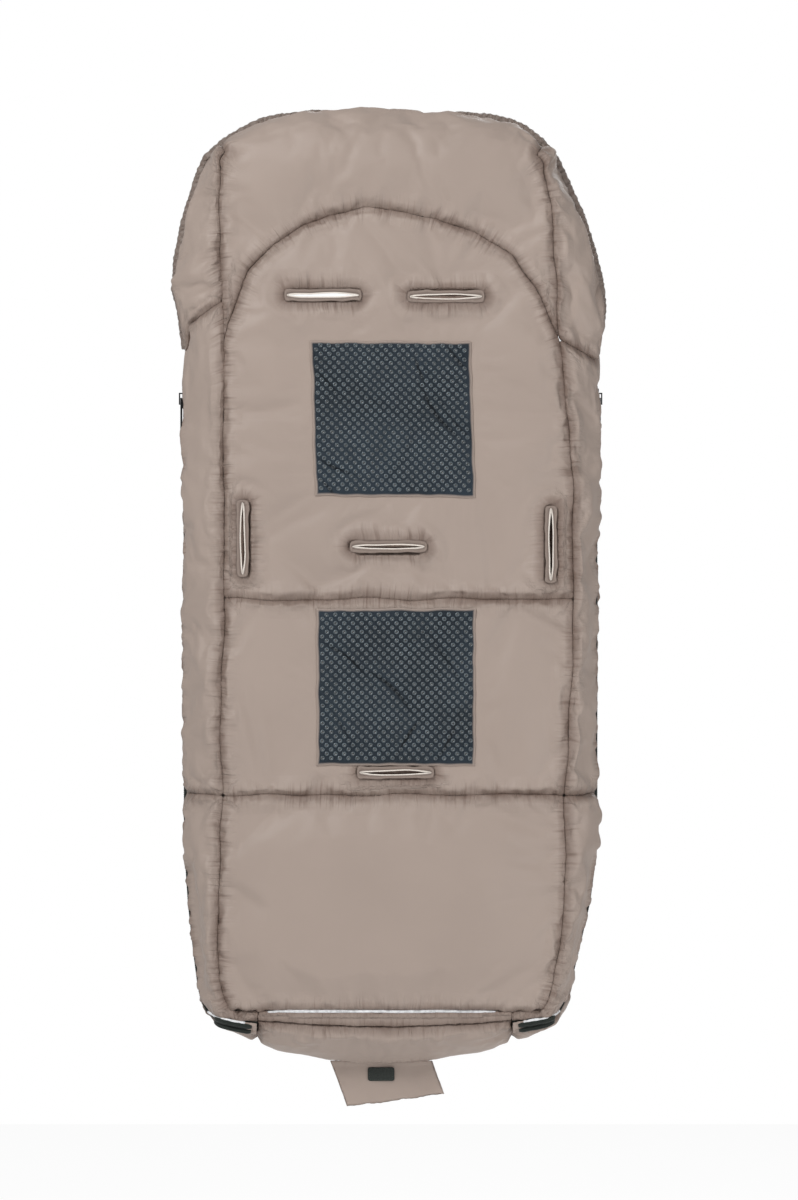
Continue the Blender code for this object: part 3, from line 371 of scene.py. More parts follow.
def finish_of(key):
    """The named material, made once."""
    name = f"footmuff_{key}"
    if name in bpy.data.materials:
        return bpy.data.materials[name]
    c = colours()
    makers = {
        "shell": lambda: nylon(name, c.shell, c.crease_shade),
        "rim": lambda: nylon(name, darker(c.shell, 0.62), c.crease_shade),
        "fleece": lambda: fleece(name, c.fleece),
        "grip": lambda: grip_cloth(name, c.grip, darker(c.shell, 1.1)),
        "dot": lambda: rubber_dot(name, c.dot),
        "lip": lambda: lip_cloth(name, c.shell, c.crease_shade, c.lip),
        "piping": lambda: plain(
            name, c.piping, 0.34, (260, 2, 0.4, 0.7, 0.7), (330, 2, 0.0004, 0.5),
            Specular_IOR_Level=0.7, Coat_Weight=0.3,
        ),
        "tape": lambda: webbing(name, c.tape),
        "coil": lambda: plain(
            name, c.tape, 0.42, (500, 2, 0.3, 0.7, 0.6), (700, 2, 0.00008, 0.5), Specular_IOR_Level=0.5
        ),
        "metal": lambda: plain(
            name, c.metal, 0.38, (300, 4, 0.3, 0.8, 0.7), (800, 3, 0.00006, 0.6), Metallic=0.9
        ),
        "elastic": lambda: webbing(name, darker(c.fleece, 0.95), 300),
        "hooks": lambda: hook_tape(name, darker(c.tape, 0.45)),
        "thread": lambda: webbing(name, darker(c.tape, 2.6), 900, 0.6),
    }
    return makers[key]()


# Working on objects

def alone(obj):
    bpy.ops.object.select_all(action="DESELECT")
    obj.select_set(True)
    bpy.context.view_layer.objects.active = obj


@contextmanager
def editing(piece):
    """Edit mode, with the whole piece selected."""
    alone(piece)
    bpy.ops.object.mode_set(mode="EDIT")
    bpy.ops.mesh.select_all(action="SELECT")
    yield
    bpy.ops.object.mode_set(mode="OBJECT")


def modify(piece, kind, **values):
    """Adds one modifier and applies it."""
    modifier = piece.modifiers.new(kind.title(), kind)
    for key, value in values.items():
        setattr(modifier, key, value)
    alone(piece)
    bpy.ops.object.modifier_apply(modifier=modifier.name)


def refine(piece, levels):
    modify(piece, "SUBSURF", levels=levels, render_levels=levels)


def round_edges(piece, width):
    modify(piece, "BEVEL", width=width, segments=2, limit_method="ANGLE")


def new_piece(name, mesh):
    piece = bpy.data.objects.new(name, mesh)
    bpy.context.scene.collection.objects.link(piece)
    return piece


def added(shape, **values):
    """The new object that an operator for one of Blender's own shapes makes."""
    bpy.ops.object.select_all(action="DESELECT")
    shape(**values)
    return bpy.context.active_object


def copy_node(node, name):
    """A CAD node's mesh in a piece of its own, with its loose faces merged."""
    mesh = frame["nodes"][node].data.copy()
    mesh.materials.clear()
    piece = new_piece(name, mesh)
    with editing(piece):
        bpy.ops.mesh.remove_doubles(threshold=MERGE)
        bpy.ops.mesh.customdata_custom_splitnormals_clear()
    return piece


def repaint(node, key):
    """Gives a CAD node a finish and leaves its mesh alone."""
    materials = frame["nodes"][node].data.materials
    materials.clear()
    materials.append(finish_of(key))


def evenly(piece, step):
    """Rebuilds the piece's mesh in even faces."""
    alone(piece)
    piece.data.remesh_voxel_size = step
    bpy.ops.object.voxel_remesh()


def finished(piece, key, node, stands_for=True):
    """Gives the piece its finish, and sets it on the body of the node that it stands for.

    A piece whose node is in BENT bends from the body root to the cover instead. Dots, teeth
    and stitches go with a node without standing for it.
    """
    alone(piece)
    bpy.ops.object.shade_smooth()
    if not piece.data.materials:
        piece.data.materials.append(finish_of(key))
    if node in BENT:
        start, end = BENT[node]
        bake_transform(piece, "root", "cover", start=start, end=end)
    else:
        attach(piece, BODY_OF[node])
    if stands_for:
        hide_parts(node)


def mesh_piece(name, verts, faces):
    mesh = bpy.data.meshes.new(name)
    mesh.from_pydata([tuple(v) for v in verts], [], faces)
    mesh.validate()
    return new_piece(name, mesh)


def outwards(piece):
    """Turns the faces of a closed mesh outwards."""
    with editing(piece):
        bpy.ops.mesh.normals_make_consistent(inside=False)


def taken(shape):
    """The points and faces of an object that was made for these alone."""
    points = places_of(shape)
    faces = [tuple(p.vertices) for p in shape.data.polygons]
    bpy.data.objects.remove(shape, do_unlink=True)
    return points, faces


def put(verts, faces, shape, here, axes):
    """Adds a small shape, set at a place and turned to three axes, to a larger mesh's lists."""
    start = len(verts)
    turned = Matrix(axes).transposed()
    verts += [here + turned @ point for point in shape[0]]
    faces += [tuple(start + k for k in face) for face in shape[1]]


def tube(rows, ring, closed=False):
    """The faces of a tube of rings, which closes on itself or has an end face at both ends."""
    faces = []
    for j in range(rows if closed else rows - 1):
        for k in range(ring):
            n, m = (k + 1) % ring, (j + 1) % rows
            faces.append((j * ring + k, j * ring + n, m * ring + n, m * ring + k))
    if not closed:
        faces += [tuple(range(ring)), tuple(range((rows - 1) * ring, rows * ring))]
    return faces


def grid_piece(name, columns, rows):
    """A flat square grid, 1 m wide, round the origin."""
    piece = added(bpy.ops.mesh.primitive_grid_add, x_subdivisions=columns, y_subdivisions=rows, size=1)
    piece.name = name
    return piece


def corners_of(node, lean=1):
    """The corners of a node's plate, from the lower left one to the upper left one."""
    points = [v.co for v in frame["nodes"][node].data.vertices]
    ways = ((-1, -lean), (1, -lean), (1, lean), (-1, lean))
    return [max(points, key=lambda p: p.x * x + p.z * z) for x, z in ways]


def places_of(piece):
    return [v.co.copy() for v in piece.data.vertices]


def move_to(piece, places):
    """Moves every point of a piece to its own new place."""
    piece.data.vertices.foreach_set("co", [c for place in places for c in place])
    piece.data.update()


def point_values(piece, name, values):
    layer = piece.data.attributes.new(name, "FLOAT", "POINT")
    layer.data.foreach_set("value", values)


def point_places(piece, name, places):
    layer = piece.data.attributes.new(name, "FLOAT_VECTOR", "POINT")
    layer.data.foreach_set("vector", [c for place in places for c in place])


def tree_of(nodes):
    """One search tree over the faces of several nodes."""
    points, faces = [], []
    for node in nodes:
        mesh = frame["nodes"][node].data
        start = len(points)
        points += [v.co.copy() for v in mesh.vertices]
        faces += [tuple(start + k for k in p.vertices) for p in mesh.polygons]
    return BVHTree.FromPolygons(points, faces)


def nearest(points, nodes, far):
    """For each point the distance to the nearest of the nodes, and the place on it."""
    tree = tree_of(nodes)
    found = []
    for point in points:
        place, _, _, distance = tree.find_nearest(point, far)
        found.append((far, point) if place is None else (distance, place))
    return found


def others(*skip):
    return [node for node in frame["nodes"] if node not in skip]


def room(points, nodes, far):
    """How far each point lies from the nearest of the nodes."""
    return [distance for distance, _ in nearest(points, nodes, far)]


def push(piece, lift):
    """Moves every point along its normal by what lift gives for its number and place."""
    normals = [v.normal.copy() for v in piece.data.vertices]
    pairs = enumerate(zip(places_of(piece), normals))
    move_to(piece, [place + normal * lift(k, place) for k, (place, normal) in pairs])


def ease(value):
    share = min(1.0, max(0.0, value))
    return share * share * (3 - 2 * share)


def core(point):
    """The point of the footmuff's middle plane that a point of its wall faces."""
    x = min(0.15, max(-0.15, point.x))
    return Vector((x, ZIP_DEPTH, min(0.22, max(-0.55, point.z))))


def facing_in(point, normal):
    return normal.dot((point - core(point)).normalized()) < -0.2


# Padded panels

# How far the seam under each side of the hood rises at the back's seam and at the rim
HOOD_SEAM_RISES = {"left": (0.045, 0.020), "right": (0.0, -0.026)}

CLOTH = {
    "quality": 5,
    "mass": 0.15,
    "tension_stiffness": 15,
    "compression_stiffness": 15,
    "shear_stiffness": 5,
    "bending_stiffness": 0.12,
    "tension_damping": 5,
    "compression_damping": 5,
    "vertex_group_mass": "hold",
    "pin_stiffness": 1,
    "use_pressure": True,
    "uniform_pressure_force": 4,
    "vertex_group_shrink": "slack",
}


def inflate(piece, clear, seam):
    """Lets the padding swell the cloth, which its seams hold and gather."""
    s = sizes()
    hold = piece.vertex_groups.new(name="hold")
    slack = piece.vertex_groups.new(name="slack")
    for k, (near, far) in enumerate(zip(clear, seam)):
        hold.add([k], 1 - ease((near - 0.001) / s.hold), "REPLACE")
        slack.add([k], ease(far / s.gather), "REPLACE")
    rest = places_of(piece)
    modifier = piece.modifiers.new("Cloth", "CLOTH")
    settings = CLOTH | {"shrink_min": -s.slack, "shrink_max": -s.ease}
    for key, value in settings.items():
        setattr(modifier.settings, key, value)
    modifier.settings.effector_weights.gravity = 0
    modifier.collision_settings.use_collision = False
    modifier.point_cache.frame_end = SWELL_STEPS
    scene = bpy.context.scene
    for step in range(1, SWELL_STEPS + 1):
        scene.frame_set(step)
    swollen = piece.evaluated_get(bpy.context.evaluated_depsgraph_get())
    moved = places_of(swollen)
    piece.modifiers.remove(modifier)
    scene.frame_set(1)
    for k, v in enumerate(piece.data.vertices):
        shift = moved[k] - rest[k]
        most = min(s.rise, 0.6 * clear[k])
        if shift.length > most:
            shift *= most / shift.length
        v.co = rest[k] + shift
    piece.vertex_groups.clear()


def swell(piece, clear, seam):
    """A quick stand-in for the cloth's swelling."""
    push(piece, lambda k, place: min(0.004 * ease(seam[k] / 0.03), 0.5 * clear[k]))


def close_seams(piece, mates, reach, by=()):
    """Draws the sewn edges of a panel over to the pieces that they are sewn to.

    With by, this is done only close to those nodes.
    """
    moved = []
    places = places_of(piece)
    pulls = [0.75] * len(places)
    if by:
        pulls = [0.75 * (1 - ease(far / 0.016)) for far in room(places, by, 0.016)]
    for place, pull, (gap, mate) in zip(places, pulls, nearest(places, mates, 2 * reach)):
        moved.append(place.lerp(mate, pull * (1 - ease(gap / reach - 1))))
    move_to(piece, moved)


def pleat(piece, clear, seam, sewn):
    """Draws the cloth into pleats square to its seams."""
    s = sizes()

    def lift(k, place):
        if seam[k] > 3 * s.pleat:
            return 0.0
        at = Vector(sewn[k])
        share = seam[k] / (s.pleat * (0.6 + 1.6 * abs(noise(at * 45))))
        fold = noise(at * 120) + 0.7 * noise(at * 260 + Vector((9, 0, 0)))
        rise = s.pleat_height * fold * ease(share / 0.35) * (1 - ease(share))
        most = 0.5 * clear[k]
        return max(-most, min(most, rise))

    push(piece, lift)


def hood_seam(node):
    """The seam between a hood's side and the side below it: its height and two ends."""
    side = node.split("_")[0]
    if node not in (f"{side}_hood_side", f"{side}_upper_side"):
        return None
    points = [v.co for v in frame["nodes"][f"{side}_hood_side"].data.vertices]
    height = min(p.z for p in points)
    ends = [abs(p.x) for p in points if p.z < height + 0.006]
    return height, min(ends), max(ends), HOOD_SEAM_RISES[side]


def slant(seam, place):
    """How far that seam's slope moves the cloth round it at a place."""
    height, inner, outer, (back, rim) = seam
    share = min(1.0, max(0.0, (abs(place.x) - inner) / (outer - inner)))
    rise = back + (rim - back) * share
    rise *= 1 - ease(abs(place.z - height) / 0.12)
    # Above that seam the back's side seam leans out a little
    lean = max(0.0, place.z + rise - height) - max(0.0, place.z - height)
    inwards = 0.04 * abs(rise) * (1 - share)
    return Vector((math.copysign(1, place.x) * (0.032 * lean - inwards), 0, rise))


def settle(piece, node):
    """Lets the seams wander a little and draws the hood's corners out to the rim.

    The shift depends on the place alone, so that panels that meet still meet.
    """
    seam = hood_seam(node)
    places = places_of(piece)
    trims = room(places, others(*SHELL, *LININGS), 0.02)
    low, high = CAD_BOUNDS
    moved = []
    for place, trim in zip(places, trims):
        free = ease((trim - 0.002) / 0.012)
        at = place * 22
        shift = Vector((noise(at), 0, noise(at + Vector((5, 5, 5))))) * 0.0032 * free
        for side, corner in (("left", low[0] + 0.066), ("right", high[0] - 0.066)):
            way = -1 if side == "left" else 1
            off = Vector((place.x - corner, 0, place.z - (high[2] - 0.052))).length
            front = 1 - ease((place.y - 0.020) / 0.024)
            shift += Vector((way * 0.010, 0, 0.003)) * math.exp(-((off / 0.017) ** 2)) * front
        if seam:
            shift += slant(seam, place) * free
        moved.append(place + shift)
    move_to(piece, moved)


def gathered(piece, node, key, seams, swollen=True):
    """Turns an even mesh into padded cloth: swollen, pleated at its seams and finished."""
    s = sizes()
    points = places_of(piece)
    clear = room(points, others(node), FAR)
    near = nearest(points, seams, FAR)
    seam = [distance for distance, _ in near]
    if node == "foot_end":
        ridge = min(point.z for point in points)
        off = [p.z - ridge + abs(p.y - ZIP_DEPTH) for p in points]
        clear = [min(pair) for pair in zip(clear, (0.16 * far for far in off))]
    if swollen:
        inflate(piece, clear, seam)
    elif swollen:
        swell(piece, clear, seam)
    # seam: 1 on a seam, for the pleats and for the painted crease shade of the nylon
    point_values(piece, "seam", [max(0.0, 1 - d / s.shade) for d in seam])
    point_values(piece, "clear", clear)
    point_places(piece, "sewn", [place for _, place in near])
    refine(piece, 1)
    data = piece.data.attributes
    clear, seam = ([row.value for row in data[name].data] for name in ("clear", "seam"))
    sewn = [tuple(row.vector) for row in data["sewn"].data]
    pleat(piece, clear, [(1 - value) * s.shade for value in seam], sewn)
    mates = [n for n in seams if BODY_OF[n] == BODY_OF[node] and n in SHELL + EDGES]
    close_seams(piece, mates, s.seam_close)
    if node == "head_panel" or node.endswith("hood_side"):
        close_seams(piece, ["hood_rim"], 2 * s.seam_close)
    elif node in CORNERED:
        close_seams(piece, mates, 2.4 * s.seam_close, CORNERS)
    if node == "foot_end" or node.endswith("lower_side"):
        close_seams(piece, ["foot_end"] if node in BODY_SIDES else FOOT_MATES, s.seam_close)
    if node in BODY_SIDES + COVER_SIDES:
        side = "left" if "left" in node else "right"
        owner = "cover" if BODY_OF[node] == "cover" else "body"
        close_seams(piece, [f"{side}_zip_{owner}_tape"], s.seam_close)
    settle(piece, node)
    data.remove(data["clear"])
    finished(piece, key, node)


def quilted(node):
    """One padded panel of the shell: nylon outside, fleece on the side that faces in."""
    piece = copy_node(node, f"{node}_cloth")
    evenly(piece, sizes().weave * (1.2 if node.startswith("cover") else 1.0))
    gathered(piece, node, "shell", others(node, *LININGS, *PATCHES))
    piece.data.materials.append(finish_of("fleece"))
    seam = [row.value for row in piece.data.attributes["seam"].data]
    solid = tree_of([node])
    for face in piece.data.polygons:
        under = solid.find_nearest(face.center)[1]
        inwards = facing_in(face.center, face.normal) and facing_in(face.center, under)
        face.material_index = 1 if inwards and seam[face.vertices[0]] < 0.85 else 0


class FOOTMUFF_OT_shell(bpy.types.Operator):
    """Sews the padded panels of the back, the sides, the foot and the front cover"""

    bl_idname = "footmuff.shell"
    bl_label = "Padded Shell"

    def execute(self, context):
        for node in SHELL:
            quilted(node)
        return {"FINISHED"}


class FOOTMUFF_OT_linings(bpy.types.Operator):
    """Lines the footmuff with fleece"""

    bl_idname = "footmuff.linings"
    bl_label = "Fleece Linings"

    def execute(self, context):
        for node in LININGS:
            piece = copy_node(node, f"{node}_fleece")
            flat = node in ("back_lining", "cover_lining")
            evenly(piece, 0.0052 if flat else 0.0035)
            clear = room(places_of(piece), others(node), 0.01)

            def lift(k, place, clear=clear):
                wave = 0.5 + 0.5 * noise(place * 28) + 0.25 * noise(place * 110)
                return min(0.0022 * wave, 0.5 * clear[k])

            push(piece, lift)
            refine(piece, 1)
            finished(piece, "fleece", node)
        return {"FINISHED"}


# Rows of points along a strip or tube of the frame

def rows_along(node, start):
    """The strip's rings of points, from the end that lies nearest to start."""
    mesh = bmesh.new()
    mesh.from_mesh(frame["nodes"][node].data)
    bmesh.ops.remove_doubles(mesh, verts=mesh.verts, dist=MERGE)
    first = min(mesh.verts, key=lambda v: (v.co - start).length)
    counts = {"coil": 4, "tape": 4, "stop": 4, "rim": 16}
    size = next(n for key, n in counts.items() if key in node)
    ranked = sorted(mesh.verts, key=lambda v: (v.co - first.co).length)
    row = ranked[:size]
    seen = set(row)
    rows = []
    while row:
        rows.append([v.co.copy() for v in row])
        after = {e.other_vert(v) for v in row for e in v.link_edges} - seen
        seen |= after
        row = list(after)
    mesh.free()
    return rows


def middle(points):
    return sum(points, Vector()) / len(points)


def spaced(path, step, first=0.5):
    """Even steps along a path, each as a place and its direction."""
    made, carry = [], step * first
    for a, b in zip(path, path[1:]):
        along = b - a
        while carry <= along.length:
            made.append((a + along.normalized() * carry, along.normalized()))
            carry += step
        carry -= along.length
    return made


# Hood rim

class FOOTMUFF_OT_rim(bpy.types.Operator):
    """Gathers the casing of the hood's rim"""

    bl_idname = "footmuff.rim"
    bl_label = "Gathered Rim"

    def execute(self, context):
        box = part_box("hood_rim")
        rows = rows_along("hood_rim", Vector((box[0].x, 0.049, box[0].z)))
        path = [middle(row) for row in rows]
        reach = [0.0]
        for a, b in zip(path, path[1:]):
            reach.append(reach[-1] + (b - a).length)
        piece = copy_node("hood_rim", "hood_rim_casing")
        evenly(piece, 0.0022)
        shade = []
        sewn = room(places_of(piece), SHELL, 0.006)
        for v, gap_to_shell in zip(piece.data.vertices, sewn):
            best, along, centre = math.inf, 0, v.co
            for k, (a, b) in enumerate(zip(path, path[1:])):
                line = b - a
                share = min(1.0, max(0.0, (v.co - a).dot(line) / line.length_squared))
                gap = (a + line * share - v.co).length
                if gap < best:
                    best, along, centre = gap, reach[k] + line.length * share, a + line * share
            out = v.co - centre
            turn = noise(Vector((along * 90, 0, 0))) * 5
            fold = math.sin(along * 2 * math.pi / 0.0062 + turn + 2 * noise(v.co * 60))
            ripple = noise(v.co * 260)
            outer = ease((best - 0.003) / 0.003) * ease((gap_to_shell - 0.001) / 0.003)
            slim = -0.0012 + 0.0012 * noise(Vector((along * 35, 3, 0)))
            v.co += out.normalized() * outer * (slim + 0.00055 * fold + 0.0005 * ripple)
            # Painted shade, deepest in the valleys between the gathers, read as the seam attribute
            shade.append(0.5 + 0.4 * ease(0.5 - 0.5 * fold) * outer)
        point_values(piece, "seam", shade)
        point_places(piece, "sewn", places_of(piece))
        refine(piece, 1)
        finished(piece, "rim", "hood_rim")
        repaint("hood_elastic", "elastic")
        return {"FINISHED"}


# Grip patches

# Each fold of a patch, in millimetres: a point on it, half its length, its width and its
# height. The last number is its direction in degrees.
FOLDS = {
    "upper_grip_patch": (
        (30, 48, 26, 4, 2.2, -80),
        (46, 10, 60, 5.5, 2.6, -52),
        (66, 64, 26, 3.5, 2, -45),
        (-64, 36, 30, 4.5, 1.8, -38),
        (-56, -44, 34, 5, 2.2, -30),
        (-62, -68, 20, 3.5, 1.6, -40),
        (70, -6, 32, 4, 2, -52),
        (6, -30, 60, 12, 1.6, 60),
        (-10, 20, 70, 14, 1.4, -35),
    ),
    "lower_grip_patch": (
        (-48, 28, 48, 5, 2.2, -42),
        (-6, 0, 56, 6, 2.6, -44),
        (52, 30, 50, 6, 1.8, -66),
        (12, -48, 36, 4.5, 2.4, 48),
        (48, -50, 40, 5.5, 2.2, 62),
        (-50, -46, 42, 6, 1.6, -70),
        (30, 60, 50, 11, 1.4, 20),
    ),
}


def fold_height(node, x, z):
    """How far the patch stands off the panel, with each fold steeper on its lower side."""
    height = 0.0004 * noise(Vector((x * 30, z * 30, len(node))))
    for *lengths, angle in FOLDS[node]:
        fx, fz, half, width, lift = (value / 1000 for value in lengths)
        turn = math.radians(angle)
        along = (x - fx) * math.cos(turn) + (z - fz) * math.sin(turn)
        beside = -(x - fx) * math.sin(turn) + (z - fz) * math.cos(turn)
        beside += 0.0035 * math.sin(along * 60 + fx * 300)
        reach = width * (0.35 if beside < 0 else 1.3)
        height += lift * math.exp(-((beside / reach) ** 2)) * (1 - ease(abs(along) / half))
    return height


def fold_shade(node, x, z):
    """How deep a place lies in the crease beside a fold, from 0 to 1: the strength of the painted shade in
    the patches' creases.
    """
    step = 0.0016
    here = fold_height(node, x, z)
    ways = ((step, 0), (-step, 0), (0, step), (0, -step))
    around = [fold_height(node, x + dx, z + dz) for dx, dz in ways]
    slope = math.hypot(around[0] - around[1], around[2] - around[3]) / (2 * step)
    hollow = max(0.0, sum(around) / 4 - here) / step
    return min(1.0, 0.9 * ease((slope - 0.25) / 0.9) + 4 * hollow)


def dot_shape(radius):
    """One dot, as points and faces: a low ring round a dimple, with its foot in the cloth."""
    shape = added(bpy.ops.mesh.primitive_circle_add, vertices=10, radius=radius, fill_type="NGON")
    with editing(shape):
        for share, height in ((0.84, 0.00055), (0.80, 0.00022), (0.58, -0.00030), (0.40, -0.00042)):
            bpy.ops.mesh.extrude_region_move(TRANSFORM_OT_translate={"value": (0, 0, height)})
            bpy.ops.transform.resize(value=(share, share, 1), center_override=(0, 0, 0))
    return taken(shape)


def lay_patch(node, dot):
    """One patch: its cloth, with folds, and the dots that stand on it."""
    s = sizes()
    a, b, c, d = corners_of(node)
    centre = (a + b + c + d) / 4

    def place(u, v):
        pull = 0.0022 * math.sin(math.pi * u) * math.sin(math.pi * v)
        flat = a.lerp(b, u).lerp(d.lerp(c, u), v)
        ragged = 0.0012 * noise(flat * 60)
        edge = min(u, 1 - u, v, 1 - v)
        flat.x += ragged * (1 - ease(edge / 0.1)) + pull * 0.3
        flat.z += ragged * (1 - ease(edge / 0.1))
        lift = fold_height(node, flat.x - centre.x, flat.z - centre.z) * ease(edge / 0.06)
        flat.y = 0.0008 - 0.0005 * ease(edge / 0.03) - lift
        return flat

    def shade(at):
        return fold_shade(node, at.x - centre.x, at.z - centre.z)

    piece = grid_piece(f"{node}_cloth", 110, 108)
    rims = [0.5 - max(abs(v.co.x), abs(v.co.y)) for v in piece.data.vertices]
    point_values(piece, "rim", [1 - ease((rim - 0.007) / 0.005) for rim in rims])
    for v in piece.data.vertices:
        v.co = place(v.co.x + 0.5, v.co.y + 0.5)
    # fold: how deep each point lies in a crease, for the painted shade
    point_values(piece, "fold", [shade(v.co) for v in piece.data.vertices])
    modify(piece, "SOLIDIFY", thickness=0.0007, offset=-1)
    outwards(piece)
    finished(piece, "grip", node)

    wide, high = (b - a).length, (d - a).length
    verts, faces, shades = [], [], []
    for j in range(int(high / (s.dot_pitch / 2))):
        for i in range(int(wide / s.dot_pitch) + 1):
            u = (i + 0.5 * (j % 2) + 0.15) * s.dot_pitch / wide
            v = (j + 0.7) * s.dot_pitch / 2 / high
            if not (0.023 < u < 0.977 and 0.023 < v < 0.977):
                continue
            here = place(u, v)
            right = place(u + 0.01, v) - place(u - 0.01, v)
            up = place(u, v + 0.01) - place(u, v - 0.01)
            out = right.cross(up).normalized()
            put(verts, faces, dot, here, (right.normalized(), up.normalized(), out))
            shades += [shade(here)] * len(dot[0])
    dots = mesh_piece(f"{node}_dots", verts, faces)
    # The dots take the painted crease shade of the cloth under them
    point_values(dots, "fold", shades)
    pits = [1.0 if math.hypot(p.x, p.y) < 0.55 * s.dot_radius else 0.0 for p in dot[0]]
    point_values(dots, "pit", pits * (len(verts) // len(pits)))
    finished(dots, "dot", node, stands_for=False)


class FOOTMUFF_OT_patches(bpy.types.Operator):
    """Lays the anti-slip patches with their raised dots"""

    bl_idname = "footmuff.patches"
    bl_label = "Grip Patches"

    def execute(self, context):
        dot = dot_shape(sizes().dot_radius)
        for node in PATCHES:
            lay_patch(node, dot)
        return {"FINISHED"}


# Harness slots

# Each ring of a slot's binding, from its outer edge into the slit and round the back: its reach
# past the slit and its depth under the face in millimetres, or None for as deep as the frame's
# own binding, then how far it follows the slit's lens, its painted shade (a dark line at the outer
# edge, soft shade round the slit and dark deep in it) and its paleness
SLOT_RINGS = (
    (3.4, 1.4, 0, 0.8, 0),
    (3.1, 0.4, 0, 0.6, 0),
    (2.2, -0.2, 0, 0.4, 0),
    (1.0, 0.3, 0.3, 0.5, 0),
    (0.6, 0.8, 0.8, 0.8, 0),
    (0.4, 1.0, 1, 0.7, 0.5),
    (0.1, 0.2, 1, 0, 1),
    (-0.7, 0.2, 1, 0, 1),
    (-1.1, 1.0, 1, 0, 0.9),
    (-0.2, 4.0, 0.6, 1, 0),
    (0.4, None, 0, 1, 0),
    (1.0, None, 0, 0.8, 0),
    (1.0, 4.0, 0, 0.8, 0),
)


def bind_slot(node, index):
    low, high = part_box(node)
    centre = (low + high) / 2
    upright = high.z - low.z > high.x - low.x
    half = max(high.x - low.x, high.z - low.z) / 2 - 0.0032
    steps = 96
    verts, shade, pale = [], [], []
    for reach, depth, lens, dark, light in SLOT_RINGS:
        reach /= 1000
        deep = high.y if depth is None else low.y + depth / 1000
        for k in range(steps):
            turn = 2 * math.pi * k / steps
            cx, cz = math.cos(turn), math.sin(turn)
            along = math.copysign(min(1.0, abs(cx) ** 0.5), cx) * (half + reach)
            share = abs(along) / (half + reach)
            straight = math.copysign((0.0030 + reach) * (1 - share**40) ** 0.5, cz)
            bow = 0.0013 * max(0.0, 1 - share**2) + 0.0011 * (1 - share**8)
            bow *= 1 + 0.45 * noise(Vector((along * 45, index * 5.0, 0.4 * cz)))
            curved = math.copysign(max(0.00012, bow + reach), cz) if share < 0.999 else 0.0
            beside = straight * (1 - lens) + curved * lens
            beside += 0.0016 * (1 - lens) * noise(Vector((along * 80, index * 3.0, cz)))
            beside += 0.0010 * noise(Vector((along * 30, index * 7.0, 0)))
            lift = 0.0008 * noise(Vector((along * 260, cz * 3, index)))
            flat_place = (-beside, along) if upright else (along, beside)
            verts.append(Vector((centre.x + flat_place[0], deep + lift, centre.z + flat_place[1])))
            # Each ring's painted shade goes into the seam attribute
            shade.append(dark)
            pale.append(light)
    piece = mesh_piece(f"{node}_cloth", verts, tube(len(SLOT_RINGS), steps, closed=True))
    point_values(piece, "seam", shade)
    point_values(piece, "lip", pale)
    outwards(piece)
    refine(piece, 1)
    finished(piece, "lip", node)


class FOOTMUFF_OT_slots(bpy.types.Operator):
    """Binds the harness slots: a rolled edge, pale lips and a lens-shaped opening"""

    bl_idname = "footmuff.slots"
    bl_label = "Bound Slots"

    def execute(self, context):
        for index, name in enumerate(SLOTS):
            bind_slot(f"{name}_slot_binding", index)
        return {"FINISHED"}


# Hem, piping and hinge band

class FOOTMUFF_OT_hem(bpy.types.Operator):
    """Lays the reflective piping and gathers the hinge band under the hem"""

    bl_idname = "footmuff.hem"
    bl_label = "Hem and Piping"

    def execute(self, context):
        for node in ("hem_piping", "left_corner_piping", "right_corner_piping"):
            piece = copy_node(node, f"{node}_cord")
            with editing(piece):
                bpy.ops.mesh.tris_convert_to_quads()
            refine(piece, 3)
            for v in piece.data.vertices:
                v.co.z += 0.0010 * noise(Vector((v.co.x * 45, 0, 7)))
                v.co.y -= 0.0012
            push(piece, lambda k, place: 0.0004 + 0.0004 * noise(place * 250))
            finished(piece, "piping", node)
        piece = copy_node("hinge_band", "hinge_band_cloth")
        evenly(piece, 0.0025)
        seams = ["leg_panel", "foot_end"]
        gathered(piece, "hinge_band", "shell", seams, swollen=False)
        return {"FINISHED"}


# Zips

def along_coil(node, step, meshed=False):
    """Places along a coil, each with the ways along it, towards its mate and outwards.

    With meshed, the places of both coils take turns along the zip's straight part.
    """
    low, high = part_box(node)
    top = Vector((low.x if "left" in node else high.x, ZIP_DEPTH, high.z))
    path = [middle(row) for row in rows_along(node, top)]
    owner, other = ("body", "cover") if "body" in node else ("cover", "body")
    mate = tree_of([node.replace(owner, other)])
    made = []
    first = (path[0].z / step + (0.5 if owner == "cover" else 0)) % 1 if meshed else 0.5
    for here, along in spaced(path, step, first):
        across = mate.find_nearest(here)[0] - here
        across = (across - along * across.dot(along)).normalized()
        out = along.cross(across)
        if out.dot(here - core(here)) < 0:
            out = -out
        made.append((here, along, across, out))
    return made


def teeth(node):
    """Rounded teeth along one coil, each a bead that reaches in between those of its mate."""
    bead = bead_shape()
    verts, faces = [], []
    for here, along, across, out in along_coil(node, sizes().tooth_pitch, True):
        put(verts, faces, bead, here + across * 0.0008 + out * 0.0009, (across, along, out))
    piece = mesh_piece(f"{node}_teeth", verts, faces)
    outwards(piece)
    finished(piece, "coil", node, stands_for=False)


